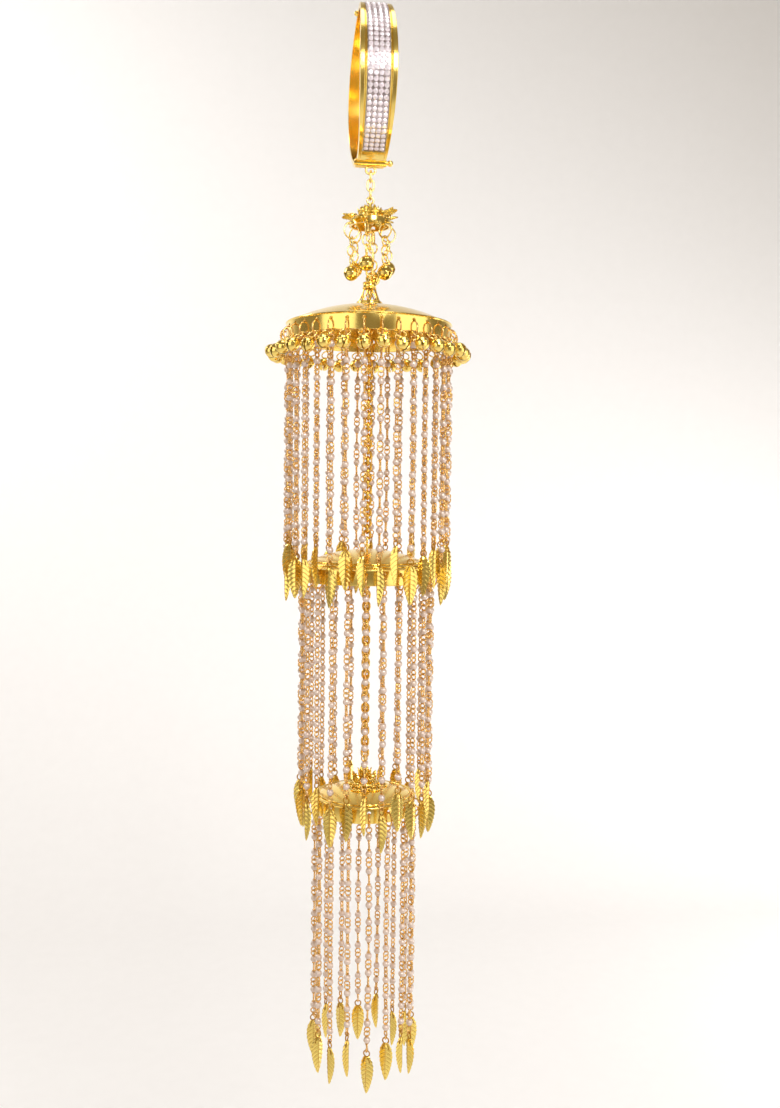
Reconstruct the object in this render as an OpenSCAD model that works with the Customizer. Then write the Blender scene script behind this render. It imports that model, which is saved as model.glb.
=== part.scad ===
// Bridal drop ornament: an openable bangle, a short chain, a petal cap with bells,
// and three domes on one line, each with a curtain of pearl strings and leaf charms.
// The origin is the inside top of the bangle, +Z is up, the bangle's axis is X
// and the front is towards -Y.

/* [Bangle] */
// Inside diameter of the bangle
bangle_id = 57.2; // [54:0.2:64]
// Width of the band where it is widest, halfway between the catch and the hinge
band_w = 14.6; // [14.2:0.1:16]
// Width of the band at the catch and the hinge
band_end_w = 11.6; // [11.2:0.1:12.6]
// Thickness of the strip under the stones
strip_t = 1.4; // [1.2:0.1:2]
// Height of the raised rims above the strip
rim_h = 0.8; // [0.6:0.1:1.2]
// Width of each raised rim
rim_w = 2.8; // [2.6:0.1:3]
// Length of the plain plate at each end of a half
plate_len = 10.5; // [8:0.5:14]
// Length of the lowered step beside the hinge
step_len = 5.4; // [4:0.2:7]
// Height of the stones above the strip
stone_h = 0.9; // [0.6:0.1:1.2]

/* [Hinge and catch] */
// Radius of the hinge barrel
barrel_r = 1.6; // [1.4:0.1:2]
// Length of the whole barrel
barrel_l = 12.8; // [12:0.1:14]
// Length of the barrel's middle knuckle
knuckle_l = 5.6; // [4:0.2:7]
// Radius of the hinge pin
hinge_pin_r = 0.7; // [0.5:0.05:0.9]
// Radius of the knob at the pin's end
knob_r = 1.3; // [1.1:0.1:1.6]
// Length of the catch's tongue
tongue_l = 3.6; // [2.5:0.1:4.5]
// Width of the catch's tongue
tongue_w = 6; // [4:0.5:8]
// Thickness of the catch's tongue
tongue_t = 0.6; // [0.4:0.1:0.8]
// Radius of the thumb knob beside the catch
thumb_r = 1.1; // [0.8:0.1:1.4]

/* [Links and pins] */
// Outer length of a chain link
link_l = 5.4; // [5:0.1:7]
// Outer width of a chain link
link_w = 3.4; // [3.2:0.1:4.4]
// Radius of the wire of links and pins
link_wire = 0.45; // [0.35:0.05:0.5]
// Outer width of the soldered loop
hanger_w = 4.9; // [4.6:0.1:5.2]
// Outer height of the soldered loop
hanger_h = 3.7; // [3.5:0.1:4.2]
// Radius of the soldered loop's wire
hanger_wire = 0.5; // [0.4:0.05:0.55]
// Radius of an eye, to the middle of its wire
eye_r = 1.3; // [1.2:0.1:1.8]

/* [Petal cap] */
// Radius of the hub between the petals
hub_r = 8.4; // [8:0.2:10]
// How far the hub slopes down to its edge
hub_drop = 2.2; // [1:0.2:3]
// Height of the drilled collar under the hub's edge
collar_h = 2.6; // [2.4:0.2:4]
// Thickness of caps and petals
cap_t = 0.7; // [0.5:0.1:0.9]
// Height of the toothed calyx
calyx_h = 4.4; // [3:0.2:6]
// Radius of the calyx at its foot
calyx_r = 3.9; // [3.5:0.1:5.5]
// Length of a petal beyond the hub
petal_l = 4; // [3:0.5:8]
// Width of a petal
petal_w = 6.4; // [5:0.2:7]

/* [Bells] */
// Radius of a bell under the petals
top_bell_r = 3.1; // [2.6:0.1:3.4]
// Radius of a bell on the rim
rim_bell_r = 2.8; // [2.2:0.05:3]
// Wall of a bell
bell_t = 0.45; // [0.35:0.05:0.5]
// Radius of the rings under the petals, to the middle of the wire
bell_ring_r = 3.2; // [2.8:0.1:4]
// Length of the long loops of the higher bells
bell_loop_l = 9.2; // [6:0.2:10]
// Outer width of the long loops
bell_loop_w = 4; // [2.4:0.1:4.6]
// How far down the lower bells hang below the higher ones
bell_stagger = 3; // [1.6:0.2:4]
// Radius of a rim bell's own loop, to the middle of its wire
bell_loop_r = 2.1; // [1.6:0.1:2.3]
// Radius of thin ring wire
thin_wire = 0.35; // [0.25:0.05:0.4]

/* [Domes] */
// Outside radius of the top dome
dome_1_r = 34.1; // [33:0.1:38]
// How much smaller the middle dome is in radius
dome_step_1 = 6.3; // [5.7:0.1:9]
// How much smaller the lowest dome is in radius than the middle one
dome_step_2 = 6.3; // [5.7:0.1:9]
// Height of the top dome's cap
cap_1_h = 8.1; // [6:0.1:12]
// Height of the middle dome's cap
cap_2_h = 6.8; // [5:0.1:10]
// Height of the lowest dome's cap
cap_3_h = 4.1; // [3.8:0.1:8]
// Height of a dome's band
band_h = 6.6; // [6.2:0.1:7.5]
// Sheet thickness of the domes
sheet = 0.8; // [0.6:0.1:1]
// Radius of the holes in the bands
hole_r = 0.8; // [0.75:0.05:1]
// From the rim up to the holes
hole_up = 4.5; // [4.1:0.1:4.8]
// From the top dome's tip to the middle one's
drop_1 = 100.9; // [95:0.5:110]
// From the middle dome's tip to the lowest one's
drop_2 = 100.5; // [95:0.5:110]
// Height of the pierced cone on the top dome
cone_h = 9.4; // [7:0.2:12]
// Radius of the pierced cone at its foot
cone_r = 5.4; // [4.6:0.2:7]
// Radius of the pierced cone at its neck
neck_r = 2.7; // [2:0.1:3.2]
// Height of the flower on the lowest dome
flower_h = 7.5; // [6:0.5:10]
// Radius of the flower on the lowest dome
flower_r = 9.6; // [8:0.2:11]

/* [Strings and leaves] */
// Radius of a pearl string's tube
string_r = 1.1; // [0.9:0.05:1.4]
// From pearl to pearl along a string
pearl_pitch = 6.9; // [6:0.1:8]
// Pearls on a string of the top dome
pearls_1 = 12; // [10:1:13]
// Pearls on a string of the middle dome
pearls_2 = 12; // [10:1:13]
// Pearls on a string of the lowest dome
pearls_3 = 13; // [8:1:16]
// Radius of a string's ring through the band, to the middle of its wire
ring_r = 2.9; // [2.6:0.05:3]
// Length of a leaf
leaf_l = 16; // [12:0.5:18]
// Width of a leaf
leaf_w = 5.8; // [5:0.1:6]
// Thickness of a leaf
leaf_t = 0.7; // [0.5:0.1:1]
// Room between leaves beside each other on the top dome
leaf_gap_1 = 0.65; // [0.2:0.05:3]
// Room between leaves beside each other on the middle dome
leaf_gap_2 = 1.1; // [0.2:0.05:3]
// Room between leaves beside each other on the lowest dome
leaf_gap_3 = 2.2; // [0.2:0.05:4]
// Radius of the centre chain's tube
chain_r = 1.35; // [1:0.05:1.6]

/* [Clearances] */
// Gap between pieces that rest on each other
seat = 0.05; // [0.03:0.01:0.1]
// Gap between linked wires
play = 0.1; // [0.05:0.01:0.15]
// Gap between the hinge pin and its bore
pin_play = 0.05; // [0.03:0.01:0.1]
// Gap between the two halves of the bangle
parting = 0.2; // [0.15:0.05:0.3]
// Gap round the catch's tongue
tongue_play = 0.25; // [0.2:0.05:0.35]

/* [Hidden] */

gold = [0.93, 0.7, 0.2];
pale_gold = [0.95, 0.78, 0.36];
pearl = [0.96, 0.9, 0.86];
stone = [0.88, 0.9, 0.95];
fine = 48;
smooth = 160;

// Bangle: the halves part at the top and meet at the hinge below
bangle_r = bangle_id / 2;
wall = strip_t + rim_h;
channel_w = band_w - 2 * rim_w;
bulge = (band_w - band_end_w) / 2;
side_r = (pow(bangle_r + wall, 2) + bulge * bulge) / (2 * bulge);
plate_deg = plate_len / (bangle_r + strip_t) * 180 / PI;
parting_deg = parting / 2 / bangle_r * 180 / PI;
step_deg = step_len / (bangle_r + strip_t) * 180 / PI;
hinge_depth = 0.1;
hinge_z = -(bangle_id + strip_t - hinge_depth);
bore_r = hinge_pin_r + pin_play;
tongue_z = wall / 2 - tongue_t / 2;
solder = 0.35;

// Soldered loop and the links under it; each wire lies play above the one below it
upper_links = 3;
middle_links = 6;
hanger_z = hinge_z - barrel_r + solder - hanger_h / 2;
swing_z = hanger_z - hanger_h / 2 + hanger_wire;
upper_top = swing_z + hanger_wire + play + link_wire;
link_step = link_l - 4 * link_wire - play;
function link_z(top, i) = top - i * link_step - (link_l / 2 - link_wire);
eye_in = 2 * link_wire + play;
upper_eye_z = link_z(upper_top, upper_links - 1) - (link_l / 2 - link_wire) + eye_in - eye_r;

// Petal cap hangs on the pin's lower eye
calyx_below = 0.2;
hub_z = upper_eye_z - eye_r - calyx_h - calyx_below;
lower_eye_z = hub_z - cap_t - seat - eye_r - link_wire;
middle_top = lower_eye_z - eye_r + eye_in;
petal_turn = 45;
ring_turn = 15;
bell_count = 6;
// Tilt of each petal above level, in degrees
petal_tilt = [-5, 0, 2, -28, -50, 22];
collar_z = hub_z - hub_drop - collar_h;
collar_hole_z = collar_z + collar_h / 2;
bell_ring_z = collar_hole_z - hole_r + thin_wire + seat - bell_ring_r;

// Top dome hangs on its own pin below the middle links
cone_eye_z = link_z(middle_top, middle_links - 1) - (link_l / 2 - link_wire) + eye_in - eye_r;
cone_below = 1;
apex_1 = cone_eye_z - eye_r - cone_below - cone_h;
apex_2 = apex_1 - drop_1;
apex_3 = apex_2 - drop_2;
dome_2_r = dome_1_r - dome_step_1;
dome_3_r = dome_2_r - dome_step_2;
ledge = 0.5;
pin_stem = 2.5;
pin_hole = link_wire + 0.15;
bead_r = 0.45;
function cap_ball(r, h) = (pow(r - ledge, 2) + h * h) / (2 * h);
function rim_z(apex, h) = apex - h - band_h;
function ring_z(apex, h) = rim_z(apex, h) + hole_up - hole_r + thin_wire + seat - ring_r;
// Height of a cap's surface at a distance from the axis
function cap_z(apex, ball, r) = apex - ball + sqrt(ball * ball - r * r);

// Strings hang in the middle of the band's sheet
function hang_r(r) = r - sheet / 2;
function string_count(r, gap) = floor(2 * PI * hang_r(r) / (leaf_w + gap));
count_1 = string_count(dome_1_r, leaf_gap_1);
count_2 = string_count(dome_2_r, leaf_gap_2);
count_3 = string_count(dome_3_r, leaf_gap_3);
string_sides = 8;
string_rings = 6;
sway = 0.4;
// Strings differ in length by up to this much either way, by tier
hang_vary = [0, 4.5, 4.5, 3.5];
string_eye_r = 0.8;
string_eye_wire = 0.3;
leaf_ring_r = 1.3;
leaf_ring_wire = 0.28;
leaf_steps = 8;
function wobble(i, tier) = sin(137.5 * i + 71 * tier);
// Leaves face the front or the rear, each turned by up to this much from it
leaf_spread = 65;
function string_deg(i, count, turn) = 360 / count * i + turn;
function leaf_turn(i, tier, deg) = leaf_spread * wobble(i, tier + 2) - deg;
function string_end(top, pearls, i, tier) = top - pearls * pearl_pitch - hang_vary[tier] * wobble(i, tier);

// Rim bells lean out on loops that pass round the string rings, each a little differently
function hook(i) = 50 + 4 * wobble(i, 6);
function lean(i) = 25 + 5 * wobble(i, 5);
bell_turn = 35;
turn_1 = 2.8;
turn_2 = 9.2;
loop_wire = 0.3;
loop_in = thin_wire + loop_wire + play;
slit_w = 0.55;

// Centre chain's end rings hold the pins' eyes
chain_ring_r = 1.25;
chain_ring_wire = 0.4;
chain_rings = 12;
function pin_top_z(apex) = apex + pin_stem + eye_r;
function pin_low_z(apex) = apex - sheet - seat - eye_r - link_wire;

// Points of a round tube along a path that runs downwards
function tube_points(path, r, sides) =
    [for (p = path) for (s = [0:sides - 1]) p + r * [cos(360 * s / sides), sin(360 * s / sides), 0]];
function tube_faces(rings, sides) = concat(
    [[for (s = [sides - 1:-1:0]) s]],
    [for (k = [0:rings - 2]) for (s = [0:sides - 1])
        [k * sides + s, k * sides + (s + 1) % sides, (k + 1) * sides + (s + 1) % sides, (k + 1) * sides + s]],
    [[for (s = [0:sides - 1]) (rings - 1) * sides + s]]);

module tube(path, r, sides) {
    polyhedron(points = tube_points(path, r, sides), faces = tube_faces(len(path), sides));
}

// Ring of round wire lying flat
module ring(r, wire) {
    rotate_extrude($fn = fine) translate([r, 0]) circle(wire, $fn = 24);
}

// Ring standing so that it faces sideways, or to the front
module ring_facing_x(r, wire) {
    rotate([0, 90, 0]) ring(r, wire);
}

module ring_facing_y(r, wire) {
    rotate([90, 0, 0]) ring(r, wire);
}

// Long link standing up and facing the front
module link(l, w, wire) {
    bend = w / 2 - wire;
    side = l / 2 - w / 2;
    for (s = [0, 180]) {
        rotate([0, s, 0]) translate([0, 0, side]) rotate([90, 0, 0])
            rotate_extrude(angle = 180, $fn = fine) translate([bend, 0]) circle(wire, $fn = 24);
        rotate([0, s, 0]) translate([bend, 0, -side]) cylinder(h = 2 * side, r = wire, $fn = 24);
    }
}

module rod(top, low, r) {
    translate([0, 0, low]) cylinder(h = top - low, r = r, $fn = 24);
}

// Turns a shape about the bangle's axis; 0 is the bottom, 90 the rear, 180 the top
module at_band(deg) {
    translate([0, 0, -bangle_r]) rotate([0, 90, 0]) rotate([0, 0, deg]) children();
}

module band_sector(from, to, r, t, w) {
    at_band(from) rotate_extrude(angle = to - from, $fn = smooth) translate([r, -w / 2]) square([t, w]);
}

// Seen from the front, the band's sides bulge between the catch and the hinge
module band_side() {
    translate([band_w / 2 - side_r, 0, -bangle_r]) rotate([90, 0, 0])
        cylinder(h = 3 * bangle_r, r = side_r, center = true, $fn = 4 * smooth);
}

module half_band(from, to) {
    difference() {
        intersection() {
            band_sector(from, to, bangle_r, wall, band_w + 1);
            band_side();
            mirror([1, 0, 0]) band_side();
        }
        band_sector(from + plate_deg, to - plate_deg, bangle_r + strip_t, rim_h + 1, channel_w);
        band_sector(-step_deg, step_deg, bangle_r + strip_t, rim_h + 1, band_w + 2);
    }
}

module barrel(from, to, r) {
    translate([from, 0, hinge_z]) rotate([0, 90, 0]) cylinder(h = to - from, r = r, $fn = fine);
}

module outer_barrels(r, from) {
    barrel(from, barrel_l / 2, r);
    mirror([1, 0, 0]) barrel(from, barrel_l / 2, r);
}

module stones(from, to) {
    edge = seat / (bangle_r + strip_t) * 180 / PI;
    band_sector(from + plate_deg + edge, to - plate_deg - edge, bangle_r + strip_t + seat,
        stone_h, channel_w - 2 * seat);
}

module bangle_front() {
    color(gold) {
        difference() {
            union() {
                difference() {
                    half_band(180 + parting_deg, 360);
                    barrel(knuckle_l / 2 - parting / 2, band_w, barrel_r + parting);
                    mirror([1, 0, 0]) barrel(knuckle_l / 2 - parting / 2, band_w, barrel_r + parting);
                }
                barrel(-knuckle_l / 2 + parting / 2, knuckle_l / 2 - parting / 2, barrel_r);
            }
            barrel(-band_w, band_w, bore_r);
            translate([-tongue_w / 2 - tongue_play, -tongue_l - 0.5, tongue_z - tongue_play])
                cube([tongue_w + 2 * tongue_play, tongue_l + 1, tongue_t + 2 * tongue_play]);
        }
        translate([0, 0, hanger_z]) rotate([0, 90, 0]) link(hanger_w, hanger_h, hanger_wire);
    }
}

module bangle_back() {
    color(gold) {
        difference() {
            union() {
                difference() {
                    half_band(0, 180 - parting_deg);
                    barrel(-knuckle_l / 2 - parting / 2, knuckle_l / 2 + parting / 2, barrel_r + parting);
                }
                outer_barrels(barrel_r, knuckle_l / 2 + parting / 2);
            }
            barrel(-band_w, band_w, bore_r);
        }
        translate([-tongue_w / 2, -tongue_l, tongue_z]) cube([tongue_w, tongue_l + 1.5, tongue_t]);
        translate([-band_end_w / 2 - thumb_r / 3, thumb_r + parting, wall / 2]) sphere(thumb_r, $fn = fine);
    }
}

module front_stones() {
    color(stone) stones(180 + parting_deg, 360);
}

module back_stones() {
    color(stone) stones(0, 180 - parting_deg);
}

module hinge_pin() {
    color(pale_gold) {
        barrel(-barrel_l / 2 - 0.2, barrel_l / 2 + knob_r / 2, hinge_pin_r);
        barrel(-barrel_l / 2 - 0.6, -barrel_l / 2 - seat, hinge_pin_r + 0.4);
        barrel(barrel_l / 2 + seat, barrel_l / 2 + 0.4, hinge_pin_r + 0.4);
        translate([barrel_l / 2 + 0.3 + knob_r, 0, hinge_z]) sphere(knob_r, $fn = fine);
    }
}

// Links turn a quarter from one to the next; the first one faces sideways
module chain_link(top, i) {
    color(pale_gold) translate([0, 0, link_z(top, i)]) rotate([0, 0, 90 * ((i + 1) % 2)])
        link(link_l, link_w, link_wire);
}

module eye_pin(top_z, low_z) {
    color(pale_gold) {
        translate([0, 0, top_z]) ring_facing_x(eye_r, link_wire);
        rod(top_z - eye_r, low_z + eye_r, link_wire);
        translate([0, 0, low_z]) ring_facing_x(eye_r, link_wire);
    }
}

module upper_pin() {
    rotate([0, 0, 90]) eye_pin(upper_eye_z, lower_eye_z);
}

// Half width of a pointed oval, as a share, from its root at 0 to its tip at 1
function oval(t) = pow(sin(180 * pow(t, 0.68)), 0.8);

module pointed_oval(l, w, root) {
    steps = leaf_steps;
    right = [for (i = [0:steps]) [l * i / steps, max(w / 2 * oval(i / steps), i == 0 ? root : 0)]];
    left = [for (i = [steps - 1:-1:0]) [right[i][0], -right[i][1]]];
    polygon(concat(right, left));
}

module petal(tilt) {
    translate([hub_r - cap_t, 0, hub_z - hub_drop]) rotate([0, -tilt, 0]) translate([-1, 0, -cap_t])
        linear_extrude(cap_t) pointed_oval(petal_l + 1, petal_w, petal_w * 0.35);
}

module petal_cap() {
    color(gold) {
        difference() {
            union() {
                translate([0, 0, hub_z]) rotate_extrude($fn = fine) polygon([
                    [pin_hole, 0], [calyx_r, 0], [hub_r, -hub_drop], [hub_r, -hub_drop - collar_h],
                    [hub_r - cap_t, -hub_drop - collar_h], [hub_r - cap_t, -hub_drop - cap_t / 2],
                    [calyx_r, -cap_t], [pin_hole, -cap_t]]);
                for (i = [0:bell_count - 1]) {
                    rotate([0, 0, petal_turn + 60 * i]) petal(petal_tilt[i]);
                }
            }
            for (i = [0:bell_count - 1]) {
                rotate([0, 0, ring_turn + 60 * i]) translate([hub_r, 0, collar_hole_z])
                    rotate([0, 90, 0]) cylinder(h = 4 * cap_t, r = hole_r, center = true, $fn = 24);
            }
        }
        calyx();
    }
}

module calyx() {
    teeth = 8;
    difference() {
        translate([0, 0, hub_z - cap_t / 2]) rotate_extrude($fn = fine) polygon([
            [calyx_r - cap_t, 0], [calyx_r, 0], [calyx_r * 0.62, calyx_h + cap_t / 2],
            [calyx_r * 0.62 - cap_t, calyx_h + cap_t / 2]]);
        for (i = [0:teeth - 1]) {
            rotate([0, 0, 360 / teeth * i]) translate([0, 0, hub_z + calyx_h]) rotate([0, 90, 0])
                linear_extrude(calyx_r) polygon([[-1, -1.3], [-1, 1.3], [calyx_h * 0.45, 0]]);
        }
    }
}

module bell_rings() {
    color(pale_gold) for (i = [0:bell_count - 1]) {
        rotate([0, 0, ring_turn + 60 * i]) translate([hub_r - cap_t / 2, 0, bell_ring_z])
            ring_facing_y(bell_ring_r, thin_wire);
    }
}

// Hollow round bell with a slit that ends in two round holes; its top is at the origin
module bell(r) {
    translate([0, 0, -r]) difference() {
        sphere(r, $fn = fine);
        sphere(r - bell_t, $fn = fine);
        translate([-slit_w / 2, -r - 1, -r - 1]) cube([slit_w, 2 * r + 2, r * 0.85 + 1]);
        translate([0, 0, -r * 0.15]) rotate([90, 0, 0])
            cylinder(h = 4 * r, r = slit_w, center = true, $fn = 24);
    }
}

// Bells hang high and low in turn, each on its own long loop
module top_bell(i) {
    loop_l = bell_loop_l + (i % 2) * bell_stagger;
    loop_top = bell_ring_z - bell_ring_r + thin_wire + play + loop_wire;
    loop_low = loop_top + loop_wire - loop_l;
    color(gold) rotate([0, 0, ring_turn + 60 * i]) translate([hub_r - cap_t / 2, 0, 0]) {
        translate([0, 0, loop_low + loop_l / 2]) rotate([0, 0, 90]) link(loop_l, bell_loop_w, loop_wire);
        translate([0, 0, loop_low + bell_t * 0.6]) rotate([0, 0, 40 + 80 * i]) bell(top_bell_r);
    }
}

// Pierced cone: a waisted shell with upright slots, on the top dome
module filigree_cap() {
    ball = cap_ball(dome_1_r, cap_1_h);
    foot = cap_z(apex_1, ball, cone_r - cap_t) + 2 * seat;
    slots = 8;
    color(gold) difference() {
        translate([0, 0, foot]) rotate_extrude($fn = fine) polygon([
            [cone_r - cap_t, 0], [cone_r, 0], [cone_r, 1.2], [cone_r * 0.72, cone_h * 0.4],
            [neck_r, cone_h * 0.75], [neck_r, cone_h], [pin_hole, cone_h], [pin_hole, cone_h - cap_t],
            [neck_r - cap_t, cone_h - cap_t], [neck_r - cap_t, cone_h * 0.75],
            [cone_r * 0.72 - cap_t, cone_h * 0.4], [cone_r - cap_t, 1]]);
        for (i = [0:slots - 1]) {
            rotate([0, 0, 360 / slots * i]) translate([0, -0.55, foot + cone_h * 0.22])
                cube([cone_r + 1, 1.1, cone_h * 0.42]);
        }
    }
}

module dome(apex, r, h, count, turn, beads) {
    ball = cap_ball(r, h);
    low = rim_z(apex, h);
    color(gold) difference() {
        union() {
            intersection() {
                translate([0, 0, apex - ball]) sphere(ball, $fn = smooth);
                translate([0, 0, apex - h]) cylinder(h = h + 1, r = r - ledge, $fn = smooth);
            }
            translate([0, 0, low]) cylinder(h = band_h, r = r, $fn = smooth);
            for (b = beads) {
                translate([0, 0, cap_z(apex, ball, r - b)]) ring(r - b, bead_r);
            }
        }
        intersection() {
            translate([0, 0, apex - ball]) sphere(ball - sheet, $fn = smooth);
            translate([0, 0, low - 1]) cylinder(h = h + band_h + 2, r = r - sheet, $fn = smooth);
        }
        rod(apex + 1, low, pin_hole);
        for (i = [0:count - 1]) {
            rotate([0, 0, string_deg(i, count, turn)]) translate([r, 0, low + hole_up]) rotate([0, 90, 0])
                cylinder(h = 6 * sheet, r = hole_r, center = true, $fn = 24);
        }
    }
}

// One string: its ring through the band, the run of pearls and the eye at its end
module string(apex, r, h, pearls, i, tier, deg) {
    ring_low = ring_z(apex, h) - ring_r;
    low = string_end(ring_low, pearls, i, tier);
    path = [for (k = [0:string_rings - 1]) let (t = k / (string_rings - 1))
        [0, sway * wobble(i + 3, tier) * sin(180 * t), ring_low + t * (low - ring_low)]];
    translate([hang_r(r), 0, 0]) {
        translate([0, 0, ring_low + ring_r]) ring_facing_y(ring_r, thin_wire);
        tube(path, string_r, string_sides);
        translate([0, 0, low - string_eye_r]) rotate([0, 0, leaf_turn(i, tier, deg)])
            ring_facing_x(string_eye_r, string_eye_wire);
    }
}

module strings(apex, r, h, count, pearls, tier, turn) {
    color(pearl) for (i = [0:count - 1]) {
        deg = string_deg(i, count, turn);
        rotate([0, 0, deg]) string(apex, r, h, pearls, i, tier, deg);
    }
}

// Leaf charm with a midrib and its soldered ring; the ring's centre is the origin
module leaf() {
    ring_facing_y(leaf_ring_r, leaf_ring_wire);
    translate([0, 0, 0.25 - leaf_ring_r]) {
        rotate([90, 90, 0]) linear_extrude(leaf_t, center = true) pointed_oval(leaf_l, leaf_w, 0);
        translate([-0.3, -leaf_t / 2 - 0.2, -leaf_l * 0.9])
            cube([0.6, leaf_t + 0.4, leaf_l * 0.88]);
    }
}

module leaves(apex, r, h, count, pearls, tier, turn) {
    hang = 2 * string_eye_r - string_eye_wire - play - leaf_ring_wire + leaf_ring_r;
    color(pale_gold) for (i = [0:count - 1]) {
        low = string_end(ring_z(apex, h) - ring_r, pearls, i, tier);
        deg = string_deg(i, count, turn);
        rotate([0, 0, deg]) translate([hang_r(r), 0, low - hang])
            rotate([0, 0, leaf_turn(i, tier, deg)]) leaf();
    }
}

module rim_bells() {
    ring_mid = ring_z(apex_1, cap_1_h);
    color(gold) for (i = [0:count_1 - 1]) {
        rotate([0, 0, string_deg(i, count_1, turn_1)])
            translate([hang_r(dome_1_r) + ring_r * sin(hook(i)), 0, ring_mid - ring_r * cos(hook(i))])
            rotate([0, -hook(i), 0]) {
                translate([0, 0, loop_in - bell_loop_r]) ring_facing_x(bell_loop_r, loop_wire);
                translate([0, 0, loop_in - 2 * bell_loop_r]) rotate([0, hook(i) - lean(i), 0])
                    translate([0, 0, -0.1]) rotate([0, 0, 90 + bell_turn * wobble(i, 4)]) bell(rim_bell_r);
            }
    }
}

// Chain on the axis: a tube between two end rings that hold the pins' eyes
module centre_chain(top_apex, low_apex) {
    ring_top = pin_low_z(top_apex) - eye_r + link_wire + play + chain_ring_wire - chain_ring_r;
    ring_low = pin_top_z(low_apex) + eye_r - link_wire - play - chain_ring_wire + chain_ring_r;
    from = ring_top - chain_ring_r;
    to = ring_low + chain_ring_r;
    path = [for (k = [0:chain_rings - 1]) [0, 0, from + (to - from) * k / (chain_rings - 1)]];
    color(gold) {
        translate([0, 0, ring_top]) ring_facing_y(chain_ring_r, chain_ring_wire);
        tube(path, chain_r, string_sides);
        translate([0, 0, ring_low]) ring_facing_y(chain_ring_r, chain_ring_wire);
    }
}

module dome_pin_1() {
    eye_pin(cone_eye_z, pin_low_z(apex_1));
}

module dome_pin_2() {
    eye_pin(pin_top_z(apex_2), pin_low_z(apex_2));
}

module dome_pin_3() {
    stop_r = 1.2;
    top_z = pin_top_z(apex_3) + flower_h;
    low_z = apex_3 - sheet - seat - stop_r;
    color(pale_gold) {
        translate([0, 0, top_z]) ring_facing_x(eye_r, link_wire);
        rod(top_z - eye_r, low_z, link_wire);
        translate([0, 0, low_z]) sphere(stop_r, $fn = fine);
    }
}

// Pierced flower with six round petals, lying on the lowest dome
module flower_cap() {
    ball = cap_ball(dome_3_r, cap_3_h);
    petal_r = flower_r * 0.34;
    color(gold) difference() {
        intersection() {
            translate([0, 0, apex_3]) rotate_extrude($fn = fine) polygon([
                [pin_hole, flower_h], [2, flower_h], [2.6, flower_h * 0.55], [4.6, 2.2], [flower_r, 0.2],
                [flower_r, -2], [4.6, -2], [4.6 - cap_t, 1.6], [2.6 - cap_t, flower_h * 0.5],
                [2 - cap_t, flower_h - cap_t], [pin_hole, flower_h - cap_t]]);
            translate([0, 0, apex_3 - 5]) linear_extrude(flower_h + 10) {
                circle(flower_r * 0.55, $fn = fine);
                for (i = [0:5]) {
                    rotate([0, 0, 60 * i]) translate([flower_r - petal_r, 0]) circle(petal_r, $fn = fine);
                }
            }
        }
        translate([0, 0, apex_3 - ball]) sphere(ball + seat, $fn = smooth);
        for (i = [0:5]) {
            rotate([0, 0, 60 * i]) translate([flower_r - petal_r, 0, apex_3 - 3])
                cylinder(h = flower_h, r = petal_r * 0.45, $fn = fine);
        }
    }
}

bangle_front();
bangle_back();
front_stones();
back_stones();
hinge_pin();
chain_link(upper_top, 0);  // upper_link_1
chain_link(upper_top, 1);  // upper_link_2
chain_link(upper_top, 2);  // upper_link_3
upper_pin();
petal_cap();
bell_rings();
top_bell(0);  // top_bell_1
top_bell(1);  // top_bell_2
top_bell(2);  // top_bell_3
top_bell(3);  // top_bell_4
top_bell(4);  // top_bell_5
top_bell(5);  // top_bell_6
chain_link(middle_top, 0);  // middle_link_1
chain_link(middle_top, 1);  // middle_link_2
chain_link(middle_top, 2);  // middle_link_3
chain_link(middle_top, 3);  // middle_link_4
chain_link(middle_top, 4);  // middle_link_5
chain_link(middle_top, 5);  // middle_link_6
filigree_cap();
dome_pin_1();
dome(apex_1, dome_1_r, cap_1_h, count_1, turn_1, []);  // dome_1
rim_bells();
strings(apex_1, dome_1_r, cap_1_h, count_1, pearls_1, 1, turn_1);  // strings_1
leaves(apex_1, dome_1_r, cap_1_h, count_1, pearls_1, 1, turn_1);  // leaves_1
centre_chain(apex_1, apex_2);  // centre_chain_1
dome_pin_2();
dome(apex_2, dome_2_r, cap_2_h, count_2, turn_2, [2, 4]);  // dome_2
strings(apex_2, dome_2_r, cap_2_h, count_2, pearls_2, 2, turn_2);  // strings_2
leaves(apex_2, dome_2_r, cap_2_h, count_2, pearls_2, 2, turn_2);  // leaves_2
centre_chain(apex_2, apex_3 + flower_h);  // centre_chain_2
flower_cap();
dome_pin_3();
dome(apex_3, dome_3_r, cap_3_h, count_3, 0, [2]);  // dome_3
strings(apex_3, dome_3_r, cap_3_h, count_3, pearls_3, 3, 0);  // strings_3
leaves(apex_3, dome_3_r, cap_3_h, count_3, pearls_3, 3, 0);  // leaves_3
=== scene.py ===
"""Dresses the hanging bridal ornament: bangle with set stones, bells, domes, pearl strings and leaves."""
import math
import random

import bmesh
import bpy
from bpy.props import FloatProperty, FloatVectorProperty, IntProperty, PointerProperty
from mathutils import Matrix, Vector


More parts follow.
